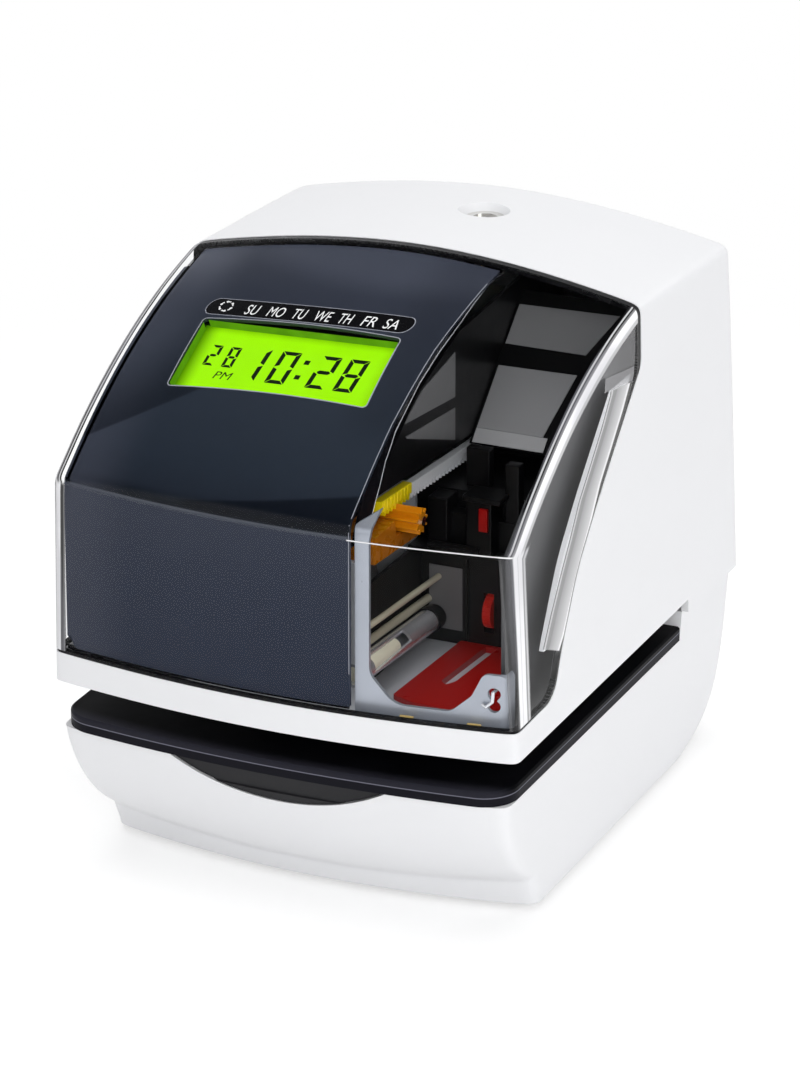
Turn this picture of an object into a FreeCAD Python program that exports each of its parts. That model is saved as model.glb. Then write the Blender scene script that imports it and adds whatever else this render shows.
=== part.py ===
import FreeCAD, Part
import math
import os

from FreeCAD import Vector

# Date and time stamp machine. Millimetres; X to the right, Y to the back, Z up.
# The origin is on the table, under the middle of the machine.

# Case, seen from the side: the corners of the outline of its side walls
case_half_width = 75.0
case_side_draft = 0.0175
case_width_level = 60.0
case_front_y = -84.9
crease_y, crease_z = -84.3, 124.4
ridge_y, ridge_z = 6.6, 168.3
rear_top_y, rear_top_z = 83.5, 164.4
rear_mid_y, rear_mid_z = 88.3, 119.0
rear_y = 92.6
slope_rise = 6.7
front_bulge = 7.75
top_bulge = 9.9
rear_bulge = 0.05
case_edge_step = 4.2
case_wall = 2.4
case_bottom_z = 60.0
skin_low_z = 50.0
far = 250.0

# Clear cover, its seam with the case seen from the side, and what lies behind it
cover_wall = 2.0
cover_seam = [(-120.0, 69.4), (-57.5, 70.6), (-52.0, 83.2), (-39.6, 103.6), (-25.5, 117.8),
              (8.0, 148.3), (7.2, 200.0)]
cover_seam_radii = [0, 10.0, 40.0, 60.0, 60.0, 6.0, 0]
gasket_width = 0.9
gasket_top_width = 2.6
gasket_sink = 0.25
fascia_inset, fascia_thickness = 2.05, 1.15
bracket_inset, bracket_thickness = 4.4, 1.2
ledge_width, ledge_low_z, ledge_high_z = 8.0, 85.0, 146.5

# Paper throat, between the table and the case
table_top_z = 50.4
throat_back_y = 49.0
base_rim_z = 45.7
seam_z = 55.6
seam_gap = 0.2

# Base
base_half_width = 69.7
base_side_draft = 0.0575
base_wall = 2.6
base_edge_step = 6.0
base_bottom_z = 1.8
base_top_level = 60.0
base_low_level = -12.0
floor_top_z = 3.8
foot_radius, foot_height = 7.0, 2.6
foot_places = [(-52.0, -42.0), (52.0, -42.0), (-52.0, 46.0), (52.0, 46.0)]
boss_places = [(-64.0, -38.0), (64.0, -38.0), (-64.0, 40.0), (64.0, 40.0)]
boss_radius, screw_radius = 4.5, 1.5
recess_centre_x, recess_centre_z, recess_radius = 0.7, 105.4, 69.4
wall_hole_x, wall_hole_z, wall_hole_radius = 45.0, 40.0, 2.2
inlet_x, inlet_z, inlet_radius = -20.0, 26.0, 4.2

# Paper table
table_half_width = 72.35
table_front_y, table_crest_y = -86.6, -92.2
table_corner_radius = 11.0
table_rim_z = 45.8
table_skin_z = 48.0

# Steel frame round the throat
cheek_x, cheek_thickness = 66.0, 1.2
head_plate_z, head_plate_thickness = 60.6, 1.8
head_plate_top = head_plate_z + head_plate_thickness
cross_y, cross_thickness = 70.0, 1.5

# Print carriage, its rack and the pinion that drives it
carriage_x = -14.0
carriage_low_z, carriage_high_z = 76.0, 110.0
carriage_front_y, carriage_back_y = -54.0, -26.0
guide_heights = (82.0, 104.0)
guide_radius = 2.5
running_gap = 0.05
slide_tilt = 3.6
slope_middle_y = -45.0
tooth_module = 0.75
pinion_teeth = 9
pinion_y, pinion_z = -51.0, 115.46
pinion_left_x, pinion_right_x = 13.0, 30.0
pinion_shaft_radius = 1.5
rack_left_x, rack_right_x = 19.5, 21.9
rack_front_y, rack_back_y, rack_top_z = -62.5, 8.0, 122.8
tip_back_y = -42.0
motor_right_x, motor_length, motor_radius = -32.0, 26.0, 15.0

# Bay: ribbon tube and its core, spring hook, step in the back wall
tube_x, tube_z, tube_radius, core_radius = 20.0, 73.2, 3.65, 2.75
hook_x = 66.4
bay_step_z = 112.4

# Ribbon cassette and its thumb wheel
edge_softness = 0.45
cassette_left_x, cassette_right_x = 29.5, 42.0
cassette_front_y, cassette_back_y, cassette_top_z = -18.0, -1.0, 94.0
wheel_x, wheel_y, wheel_z = 37.0, -14.8, 74.7
wheel_radius, wheel_width = 5.6, 2.6

# Display, on a plane of its own under the slope of the case
display_centre = Vector(-15.6, -48.4, 156.4)
display_slope, display_roll = 26.4, 2.6
window_width, window_height = 65.0, 28.0
window_u, window_v = -2.1, 3.4
window_radius = 1.2
glass_top, glass_thickness, light_thickness = -6.6, 1.8, 4.5
button_places = (-24.0, -8.0, 8.0, 24.0)
button_v = -27.0

# Key lock in the top of the case
lock_x, lock_y = 4.3, 53.0
lock_face_z, lock_low_z = 173.2, 155.9
lock_radius, plug_radius = 6.4, 4.0

parts = {}


def box(x0, x1, y0, y1, z0, z1):
    return Part.makeBox(x1 - x0, y1 - y0, z1 - z0, Vector(x0, y0, z0))


def rod(radius, start, end):
    start, end = Vector(*start), Vector(*end)
    return Part.makeCylinder(radius, (end - start).Length, start, end - start)


def tube(outer, inner, start, end):
    return rod(outer, start, end).cut(rod(inner, start, end))


def sloped_rod(radius, x, z, front_y, back_y):
    """Rod that runs down to the back with the slide, at height z in its middle."""
    fall = math.tan(math.radians(slide_tilt))
    ends = [(x, y, z - (y - slope_middle_y) * fall) for y in (front_y, back_y)]
    return rod(radius, *ends)


def soft_box(*sides):
    block = box(*sides)
    return block.makeFillet(edge_softness, block.Edges)


def fuse(*shapes):
    return shapes[0].multiFuse(list(shapes[1:])).removeSplitter()


def mirrored(shape):
    return shape.mirror(Vector(0, 0, 0), Vector(1, 0, 0))


def rounded_wire(corners, place):
    """Closed wire through the corners (a, b) or (a, b, radius), with tangent arcs."""
    count = len(corners)
    stops = []
    for index, corner in enumerate(corners):
        here = Vector(corner[0], corner[1], 0)
        radius = corner[2] if len(corner) > 2 else 0
        if not radius:
            stops.append((here, here, here))
            continue
        before = Vector(*corners[index - 1][:2], 0) - here
        after = Vector(*corners[(index + 1) % count][:2], 0) - here
        half_angle = before.getAngle(after) / 2
        reach = radius / math.tan(half_angle)
        before.normalize()
        after.normalize()
        middle = before + after
        middle.normalize()
        depth = radius / math.sin(half_angle) - radius
        stops.append((here + before * reach, here + middle * depth, here + after * reach))
    edges = []
    for index, (start, middle, end) in enumerate(stops):
        if not start.isEqual(end, 1e-6):
            edges.append(Part.Arc(place(start), place(middle), place(end)).toShape())
        following = stops[(index + 1) % count][0]
        if not end.isEqual(following, 1e-6):
            edges.append(Part.LineSegment(place(end), place(following)).toShape())
    return Part.Wire(edges)


def prism(plane, low, high, corners):
    """Rounded polygon in the plane 'xy', 'xz' or 'yz', extruded from low to high."""
    places = {"xy": lambda p: Vector(p.x, p.y, low),
              "xz": lambda p: Vector(p.x, low, p.y),
              "yz": lambda p: Vector(low, p.x, p.y)}
    ways = {"xy": Vector(0, 0, 1), "xz": Vector(0, 1, 0), "yz": Vector(1, 0, 0)}
    face = Part.Face(rounded_wire(corners, places[plane]))
    return face.extrude(ways[plane] * (high - low))


def shifted(points, distances):
    """Open outline moved sideways, each leg by its own distance, corners mitred."""
    normals = []
    for (y0, z0), (y1, z1) in zip(points, points[1:]):
        length = math.hypot(y1 - y0, z1 - z0)
        normals.append((-(z1 - z0) / length, (y1 - y0) / length))
    moved = []
    for index, (y, z) in enumerate(points):
        first = max(index - 1, 0)
        last = min(index, len(normals) - 1)
        (ay, az), (by, bz) = normals[first], normals[last]
        turn = ay * bz - az * by
        if abs(turn) > 0.3:
            dy = (distances[first] * bz - distances[last] * az) / turn
            dz = (distances[last] * ay - distances[first] * by) / turn
        else:
            share = (distances[first] + distances[last]) / 2 / (1 + ay * by + az * bz)
            dy, dz = (ay + by) * share, (az + bz) * share
        moved.append((y + dy, z + dz))
    return moved


def sharpened(points, reaches):
    """Extra points close to the corners that stay crisp in the smooth surface."""
    result = []
    for index, (y, z) in enumerate(points):
        reach = reaches.get(index)
        for neighbour in (index - 1, index, index + 1):
            if neighbour == index:
                result.append((y, z))
            elif reach:
                ny, nz = points[neighbour]
                share = reach / math.hypot(ny - y, nz - z)
                result.append((y + (ny - y) * share, z + (nz - z) * share))
    return result


def arc_points(start, end, rise, count):
    """Points between start and end on the arc that rises above their chord."""
    chord = Vector(end[0] - start[0], end[1] - start[1], 0)
    half = chord.Length / 2
    radius = (half * half + rise * rise) / (2 * rise)
    along = chord.normalize()
    above = Vector(-along.y, along.x, 0)
    centre = Vector(start[0], start[1], 0) + along * half + above * (rise - radius)
    half_angle = math.asin(half / radius)
    points = []
    for step in range(1, count + 1):
        angle = half_angle * (2 * step / (count + 1) - 1)
        point = centre + along * radius * math.sin(angle) + above * radius * math.cos(angle)
        points.append((point.x, point.y))
    return points


def skin_surface(rows):
    spans = [len(rows) - 3, len(rows[0]) - 3]
    knots = [tuple(range(count + 1)) for count in spans]
    repeats = [(4,) + (1,) * (count - 1) + (4,) for count in spans]
    surface = Part.BSplineSurface()
    surface.buildFromPolesMultsKnots(rows, repeats[0], repeats[1], knots[0], knots[1], False, False, 3, 3)
    return surface


def skin_rows(outline, bulges, half_width, inset, radius, crisp):
    """Rows across the machine: up one side wall, over its rounded edge, across, and down again."""
    widest = half_width(outline[0][1])
    wall_depths = (3 * radius, 2 * radius, radius, 0)
    top_steps = (radius, 2 * radius, 0.4 * widest, 0.7 * widest)

    def row(lift, place_x):
        points = shifted(outline, [bulge * lift - inset for bulge in bulges])
        for end in (0, -1):
            points[end] = (points[end][0], outline[end][1])
        return [Vector(place_x(z), y, z) for y, z in sharpened(points, crisp)]

    rows = []
    for depth in wall_depths:
        points = shifted(outline, [-inset - depth] * len(bulges))
        for end in (0, -1):
            points[end] = (points[end][0], outline[end][1])
        rows.append([Vector(inset - half_width(z), y, z) for y, z in sharpened(points, crisp)])
    for step in top_steps:
        lift = 1 - (1 - (step + inset) / widest) ** 2
        rows.append(row(lift, lambda z: step + inset - half_width(z)))
    rows.append(row(1, lambda z: 0))
    for copied in rows[-2::-1]:
        rows.append([Vector(-point.x, point.y, point.z) for point in copied])
    return rows


def skin_solid(chains):
    """Closed solid between curved chains of rows, with flat side walls, top and bottom."""
    surfaces = [skin_surface(rows) for rows in chains]
    faces = [surface.toShape() for surface in surfaces]
    side_edges = {0: [], 1: []}
    for index, surface in enumerate(surfaces):
        following = surfaces[(index + 1) % len(surfaces)]
        ends = [surface.vIso(surface.bounds()[3]).toShape(), following.vIso(0).toShape()]
        for side in (0, 1):
            u = surface.bounds()[side]
            line = Part.LineSegment(surface.value(u, surface.bounds()[3]), following.value(u, 0)).toShape()
            ends.append(line)
            side_edges[side] += [surface.uIso(u).toShape(), line]
        faces.append(Part.Face(Part.Wire(Part.__sortEdges__(ends))))
    for side in (0, 1):
        faces.append(Part.Face(Part.Wire(Part.__sortEdges__(side_edges[side]))))
    shell = Part.Shell(faces)
    shell.sewShape()
    solid = Part.Solid(shell)
    if solid.Volume < 0:
        solid.reverse()
    return solid


def case_solid(inset):
    slope = arc_points((crease_y, crease_z), (ridge_y, ridge_z), slope_rise, 5)
    front_middle = (case_front_y + 0.3, (skin_low_z + crease_z) / 2)
    outline = [(case_front_y, skin_low_z), front_middle, (crease_y, crease_z)]
    outline += slope
    outline += [(ridge_y, ridge_z), ((ridge_y + rear_top_y) / 2, (ridge_z + rear_top_z) / 2 + 0.4)]
    outline += [(rear_top_y, rear_top_z), (rear_mid_y, rear_mid_z), (rear_y, skin_low_z)]
    bulges = [front_bulge] * 2
    bulges += [front_bulge + (top_bulge - front_bulge) * (step + 1) / 6 for step in range(6)]
    bulges += [top_bulge] * 2 + [rear_bulge] * 2

    def half_width(z):
        return case_half_width - case_side_draft * (z - case_width_level)

    crisp = {2: 3.0, 8: 3.0, 10: 4.0}
    return skin_solid([skin_rows(outline, bulges, half_width, inset, case_edge_step - inset / 2, crisp)])


def base_solid(inset):
    front = [(-54.0, base_low_level), (-56.2, 0.0), (-58.6, 6.0), (-61.0, 11.4), (-69.3, 16.9),
             (-75.6, 23.6), (-80.6, 31.0), (-84.0, 38.5), (-86.3, 46.0), (-86.8, base_top_level)]
    front_bulges = [8.8, 8.8, 8.5, 7.0, 6.3, 6.0, 5.8, 5.6, 5.6]
    rear = [(rear_y, base_top_level), (rear_y, 40.0), (91.0, 24.0), (86.4, 12.4), (77.0, 4.6), (66.0, 1.0),
            (50.0, -2.6), (30.0, base_low_level)]
    rear_bulges = [rear_bulge] * (len(rear) - 1)

    def half_width(z):
        return base_half_width + base_side_draft * z

    step = base_edge_step - inset / 2
    return skin_solid([skin_rows(front, front_bulges, half_width, inset, step, {3: 2.0}),
                       skin_rows(rear, rear_bulges, half_width, inset, step, {})])


def half_spaces(level, split_y, rear_level):
    """Everything below one level in front of split_y and another behind it."""
    front = box(-far, far, -far, split_y, -far, level)
    return fuse(front, box(-far, far, split_y - 0.01, far, -far, rear_level))


def cover_region(grow=0, top_grow=0):
    """Everything in front of the cover's seam, which can be moved outwards."""
    moved = shifted(cover_seam, [-grow] * (len(cover_seam) - 2) + [-top_grow])
    moved[0] = (cover_seam[0][0], moved[0][1])
    moved[-1] = (moved[-1][0], cover_seam[-1][1])
    corners = [point + (radius,) for point, radius in zip(moved, cover_seam_radii)]
    corners.append((cover_seam[0][0], cover_seam[-1][1]))
    return prism("yz", -far, far, corners)


def on_display(shape):
    """Moves a shape drawn flat, u right, v up and n towards the reader, under the slope."""
    tilt = FreeCAD.Rotation(Vector(1, 0, 0), display_slope)
    roll = FreeCAD.Rotation(Vector(0, 1, 0), -display_roll)
    return shape.transformed(FreeCAD.Placement(display_centre, tilt.multiply(roll)).toMatrix())


def display_box(u0, u1, v0, v1, n0, n1):
    return on_display(box(u0, u1, v0, v1, n0, n1))


def around_window(margin, n0, n1, radius=0):
    """Block that reaches past the display's window on all sides by the margin."""
    half_u, half_v = window_width / 2 + margin, window_height / 2 + margin
    corners = []
    for side_u, side_v in ((-1, -1), (1, -1), (1, 1), (-1, 1)):
        corners.append((window_u + side_u * half_u, window_v + side_v * half_v, radius))
    return on_display(prism("xy", n0, n1, corners))


def layer(outer_inset, inner_inset):
    return case_solid(outer_inset).cut(case_solid(inner_inset))


def ledge_space(margin):
    """Strips along the side seams where the housing reaches behind the cover."""
    band = cover_region(3, 3).cut(cover_region(-ledge_width - margin, -ledge_width - margin))
    inner = box(-66 + margin, 66 - margin, -far, far, 0, far)
    below = box(-far, far, -far, far, 0, ledge_low_z - margin)
    above = box(-far, far, -far, far, ledge_high_z + margin, far)
    return band.cut(inner).cut(below).cut(above)


def build_case():
    """The case that lifts off: housing, clear cover, gasket, fascia and lock cylinder."""
    outer, inner = case_solid(0), case_solid(case_wall)
    region = cover_region()
    ring = cover_region(gasket_width, gasket_top_width)
    below = half_spaces(case_bottom_z, throat_back_y, seam_z + seam_gap)
    ledge = layer(cover_wall + 0.05, case_wall + 1.2).common(ledge_space(0))
    boss = rod(9.5, (lock_x, lock_y, 163), (lock_x, lock_y, 185)).common(outer)
    housing = fuse(outer.cut(inner).cut(ring), *ledge.Solids, boss).cut(below)
    housing = housing.cut(rod(lock_radius + 0.05, (lock_x, lock_y, 150), (lock_x, lock_y, 190)))
    funnel = Part.makeCone(lock_radius + 0.05, 9.3, 4.6, Vector(lock_x, lock_y, lock_face_z))
    parts["upper_housing"] = housing.cut(funnel)
    parts["clear_cover"] = outer.cut(case_solid(cover_wall)).common(region)
    parts["cover_gasket"] = layer(gasket_sink, cover_wall).common(ring.cut(region))
    outline = [(-69, 70.6, 3), (24.3, 70.6, 0.6), (24.3, 125), (25, 148), (26.4, 162), (29.6, 175),
               (31, 200), (-69, 200)]
    fascia = layer(fascia_inset, fascia_inset + fascia_thickness)
    fascia = fascia.common(prism("xz", -far, far, outline)).common(cover_region(-0.8, -0.8))
    parts["fascia_panel"] = fascia.cut(ledge_space(0.4)).cut(around_window(0, -12, 12, window_radius))
    clips = []
    for x in (39.5, 59.5):
        clips.append(layer(cover_wall + 0.1, case_wall + 0.2).common(box(x, x + 4, -far, 0, 69.4, 70.4)))
    parts["cover_clips"] = Part.makeCompound(clips)


def build_lock():
    cylinder = rod(lock_radius, (lock_x, lock_y, lock_low_z), (lock_x, lock_y, lock_face_z))
    bore = rod(plug_radius + running_gap, (lock_x, lock_y, 100), (lock_x, lock_y, 200))
    parts["lock_cylinder"] = cylinder.cut(bore)
    plug = rod(plug_radius, (lock_x, lock_y, lock_low_z - 2.4), (lock_x, lock_y, lock_face_z - 0.6))
    key_slot = box(lock_x - 0.6, lock_x + 0.6, lock_y - 2.9, lock_y + 2.9, lock_face_z - 8, lock_face_z)
    parts["lock_plug"] = plug.cut(key_slot)
    outline = [(lock_x - 5, lock_y - 5, 4.5), (lock_x + 14, lock_y - 3.2, 2.5),
               (lock_x + 14, lock_y + 3.2, 2.5), (lock_x - 5, lock_y + 5, 4.5)]
    parts["lock_cam"] = prism("xy", lock_low_z - 4.4, lock_low_z - 2.4, outline)
    catch = box(lock_x - 9, lock_x + 9, lock_y + 7.8, cross_y, lock_low_z - 1.8, lock_low_z - 0.3)
    flange = box(lock_x - 9, lock_x + 9, cross_y - 1.5, cross_y, 138, lock_low_z - 0.3)
    parts["latch_plate"] = fuse(catch, flange)


def build_base():
    outer, inner = base_solid(0), base_solid(base_wall)
    shell = outer.cut(inner)
    below = box(-far, far, -far, far, -far, base_bottom_z)
    above = box(-far, far, -far, throat_back_y, base_rim_z, far)
    above = above.fuse(box(-far, far, throat_back_y - 1, far, seam_z - seam_gap / 2, far))
    throat_wall = box(-far, far, throat_back_y, throat_back_y + 2.4, 44, 60).common(base_solid(1))
    bosses = [rod(boss_radius, (x, y, floor_top_z), (x, y, 18)) for x, y in boss_places]
    heel = [(54.5, base_bottom_z), (66, base_bottom_z), (71.5, 4.5), (71.5, 9), (54.5, 9)]
    heel = prism("yz", -66, 66, heel)
    heel = heel.cut(base_solid(1))
    housing = fuse(shell, throat_wall, heel, *bosses).cut(below).cut(above)
    for x, y in boss_places:
        housing = housing.cut(rod(screw_radius + running_gap, (x, y, 0), (x, y, 15)))
    for x in (-wall_hole_x, wall_hole_x):
        housing = housing.cut(rod(wall_hole_radius, (x, 80, wall_hole_z), (x, 100, wall_hole_z)))
    housing = housing.cut(rod(inlet_radius, (inlet_x, 80, inlet_z), (inlet_x, 100, inlet_z)))
    parts["base_housing"] = housing.cut(recess_prism(recess_radius))
    insert = base_solid(0.35).cut(base_solid(9)).common(recess_prism(recess_radius - 0.25))
    insert = insert.cut(rod(13, (-60, -97, 49.5), (60, -97, 49.5)))
    parts["thumb_recess"] = insert.cut(box(-far, far, -far, far, base_rim_z, far))


def recess_prism(radius):
    """Segment of a large circle, cut into the front of the base under the table."""
    low = recess_centre_z - radius
    half = math.sqrt(radius ** 2 - (recess_centre_z - base_rim_z - 1) ** 2)
    left = Vector(recess_centre_x - half, -110, base_rim_z + 1)
    right = Vector(recess_centre_x + half, -110, base_rim_z + 1)
    arc = Part.Arc(left, Vector(recess_centre_x, -110, low), right).toShape()
    wire = Part.Wire([arc, Part.LineSegment(right, left).toShape()])
    return Part.Face(wire).extrude(Vector(0, 36, 0))


def build_floor():
    outline = [(-66.6, -48, 8), (-40, -57), (0, -61), (40, -57), (66.6, -48, 8),
               (66.6, 62, 6), (-66.6, 62, 6)]
    plate = prism("xy", base_bottom_z, floor_top_z, outline)
    posts = [rod(3, (x, y, floor_top_z), (x, y, 12)) for x in (-54, 16) for y in (4, 40)]
    pads = [rod(3, (x, 57, floor_top_z), (x, 57, 8)) for x in (-50, 50)]
    plate = fuse(plate.common(base_solid(base_wall + 0.1)), *posts, *pads)
    for x, y in foot_places:
        plate = plate.cut(rod(foot_radius + running_gap, (x, y, -1), (x, y, foot_height)))
    for x, y in boss_places:
        plate = plate.cut(rod(screw_radius + running_gap, (x, y, 0), (x, y, 5)))
        plate = plate.cut(rod(3.2, (x, y, 0), (x, y, base_bottom_z + 1.2)))
    for step in range(6):
        x = 8 + 7 * step
        plate = plate.cut(prism("xy", 0, 5, [(x, -38, 1.2), (x + 2.5, -38, 1.2),
                                             (x + 2.5, -14, 1.2), (x, -14, 1.2)]))
    parts["base_plate"] = plate
    feet = []
    for x, y in foot_places:
        foot = rod(foot_radius, (x, y, 0), (x, y, foot_height))
        feet.append(foot.makeChamfer(0.5, [edge for edge in foot.Edges if edge.BoundBox.ZMax < 0.1]))
    parts["rubber_feet"] = Part.makeCompound(feet)
    screws = []
    for x, y in boss_places:
        head = rod(3.0, (x, y, base_bottom_z + 0.1), (x, y, base_bottom_z + 1.2))
        screws.append(fuse(head, rod(screw_radius, (x, y, base_bottom_z + 1), (x, y, 14))))
    parts["base_screws"] = Part.makeCompound(screws)


def build_table():
    """Black table that the paper slides over, with a rim that stands on the base."""
    left, right = Vector(-table_half_width, table_front_y, 0), Vector(table_half_width, table_front_y, 0)
    back = throat_back_y - 0.1
    front = Part.Arc(left, Vector(0, table_crest_y, 0), right).toShape()
    corners = [right, Vector(table_half_width, back, 0), Vector(-table_half_width, back, 0), left]
    wire = Part.Wire([front] + [Part.LineSegment(a, b).toShape() for a, b in zip(corners, corners[1:])])
    slab = Part.Face(wire).extrude(Vector(0, 0, table_top_z - table_rim_z))
    slab.translate(Vector(0, 0, table_rim_z))
    uprights = [edge for edge in slab.Edges if edge.BoundBox.ZLength > 4 and edge.CenterOfMass.y < 0]
    slab = slab.makeFillet(table_corner_radius, uprights)
    rim = [edge for edge in slab.Edges if edge.BoundBox.ZMin > table_top_z - 0.1]
    slab = slab.makeChamfer(0.6, [edge for edge in rim if edge.CenterOfMass.y < back - 1])
    pocket = prism("xy", table_rim_z - 1, table_skin_z,
                   [(-69, -78, 6), (69, -78, 6), (69, back - 3, 2), (-69, back - 3, 2)])
    window = prism("xy", 40, 60, [(-15, -52, 2), (15, -52, 2), (15, -26, 2), (-15, -26, 2)])
    parts["paper_table"] = slab.cut(pocket).cut(window)
    parts["platen_pad"] = prism("xy", 46.5, table_top_z - 0.1,
                                [(-14.8, -51.8, 2), (14.8, -51.8, 2), (14.8, -26.2, 2), (-14.8, -26.2, 2)])
    column = box(-13, 13, -50, -28, 8, 46.5)
    parts["platen_anvil"] = fuse(column, box(-22, 22, -54, -24, floor_top_z, 9))
    stop_y = throat_back_y - 2
    parts["paper_stop"] = box(-60, 60, stop_y, throat_back_y - 0.2, table_top_z + 0.1, head_plate_z)
    sensor = box(40, 52, throat_back_y - 7, stop_y, 55, head_plate_z)
    parts["paper_sensor"] = sensor.cut(box(43, 49, -far, throat_back_y - 3.5, 54, 58))


def build_frame():
    """Steel cheeks that reach round the throat, joined by plates."""
    outline = [(54, 8), (66, 8), (78, 18), (84, 40), (84, 112), (80.5, 152), (10, 155), (-30, 146),
               (-60, 130), (-76, 118), (-76, head_plate_z), (54, head_plate_z)]
    cheek = prism("yz", cheek_x, cheek_x + cheek_thickness, outline)
    parts["frame_cheeks"] = Part.makeCompound([cheek, mirrored(cheek)])
    foot = box(-cheek_x, cheek_x, 53, cross_y, 8, 9.5)
    parts["frame_back"] = fuse(foot, box(-cheek_x, cheek_x, cross_y, cross_y + cross_thickness, 8, 149))
    plate = box(-cheek_x, cheek_x, -78, cross_y, head_plate_z, head_plate_top)
    head_slot = box(carriage_x - 10, carriage_x + 10, carriage_front_y - 14, carriage_back_y + 2, 60, 63)
    plate = plate.cut(head_slot)
    front = box(-34, 24.6, -78, -76.5, head_plate_z, 111)
    back = box(-34, 12, -14.6, -13.1, head_plate_z, 111)
    plate = fuse(plate, front, back)
    for z in guide_heights:
        plate = plate.cut(sloped_rod(guide_radius, carriage_x, z, -90, 0))
    parts["head_plate"] = plate.cut(sloped_rod(tube_radius, tube_x, tube_z, -90, -60))
    guides = [sloped_rod(guide_radius, carriage_x, z, -78, -13.1) for z in guide_heights]
    parts["guide_rods"] = Part.makeCompound(guides)


def tooth_wire(points):
    return Part.Face(Part.makePolygon([Vector(*point) for point in points + points[:1]]))


def with_slide(shape):
    """Turns a level shape about the pinion's axle, so that it runs down to the back."""
    return shape.rotated(Vector(0, pinion_y, pinion_z), Vector(1, 0, 0), -slide_tilt)


def build_carriage():
    """Print head on two rods, moved front to back by the toothed rack."""
    left, right = carriage_x - 12, carriage_x + 12
    block = box(left, right, carriage_front_y, carriage_back_y, carriage_low_z, carriage_high_z)
    block = block.cut(box(left + 5, right + 0.1, carriage_front_y + 4, carriage_back_y - 4, 88, 98))
    for z in guide_heights:
        block = block.cut(sloped_rod(guide_radius + running_gap, carriage_x, z, -90, 0))
    parts["carriage_block"] = block
    nose = prism("xz", carriage_front_y + 5, carriage_back_y - 5,
                 [(carriage_x - 8, carriage_low_z), (carriage_x - 8, 68), (carriage_x - 3, 60.9),
                  (carriage_x + 3, 60.9), (carriage_x + 8, 68), (carriage_x + 8, carriage_low_z)])
    parts["print_head"] = nose
    post = box(-26, -22, -30, -27, carriage_high_z, 120)
    beam = box(-26, -22, -30, 7.8, 119.9, 121.9)
    arm = box(-26, rack_left_x, 4.4, 7.8, 119.9, 121.9)
    parts["rack_arm"] = fuse(post, with_slide(fuse(beam, arm)))
    pitch_z = pinion_z + tooth_module * pinion_teeth / 2
    root_z = pitch_z + 1.1 * tooth_module
    tip_z = pitch_z - 0.85 * tooth_module
    pitch = math.pi * tooth_module
    bar = box(rack_left_x, rack_right_x, rack_front_y + 1, rack_back_y, root_z, rack_top_z)
    first = math.ceil((rack_front_y + 1.2 - pinion_y) / pitch - 0.5)
    last = math.floor((rack_back_y - 1.2 - pinion_y) / pitch - 0.5)
    teeth = []
    for index in range(first, last + 1):
        y = pinion_y + (index + 0.5) * pitch
        corners = [(rack_left_x, y - 0.79, root_z + 0.01), (rack_left_x, y - 0.225, tip_z),
                   (rack_left_x, y + 0.225, tip_z), (rack_left_x, y + 0.79, root_z + 0.01)]
        teeth.append(tooth_wire(corners).extrude(Vector(rack_right_x - rack_left_x, 0, 0)))
    rack = fuse(bar, *teeth)
    tip_space = box(0, 40, -far, tip_back_y, 100, 130)
    middle_x, middle_z = (rack_left_x + rack_right_x) / 2, (root_z + rack_top_z) / 2
    stop = rod(2.2, (middle_x, rack_back_y - 0.1, middle_z), (middle_x, rack_back_y + 1, middle_z))
    parts["rack_bar"] = with_slide(fuse(rack.cut(tip_space), stop))
    sleeve = box(rack_left_x - 0.3, rack_right_x + 0.3, rack_front_y, tip_back_y + 0.6,
                 root_z + 0.3, rack_top_z + 0.5)
    sleeve = sleeve.makeFillet(0.4, [edge for edge in sleeve.Edges if edge.BoundBox.YLength > 5])
    for step in range(8):
        y = rack_front_y + 1.6 + step * pitch
        for x in (rack_left_x - 0.3, rack_right_x + 0.3):
            sleeve = sleeve.cut(rod(0.22, (x, y, 100), (x, y, 130)))
    parts["rack_tip"] = with_slide(fuse(rack.common(tip_space), sleeve.cut(rack.cut(tip_space))))


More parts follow.
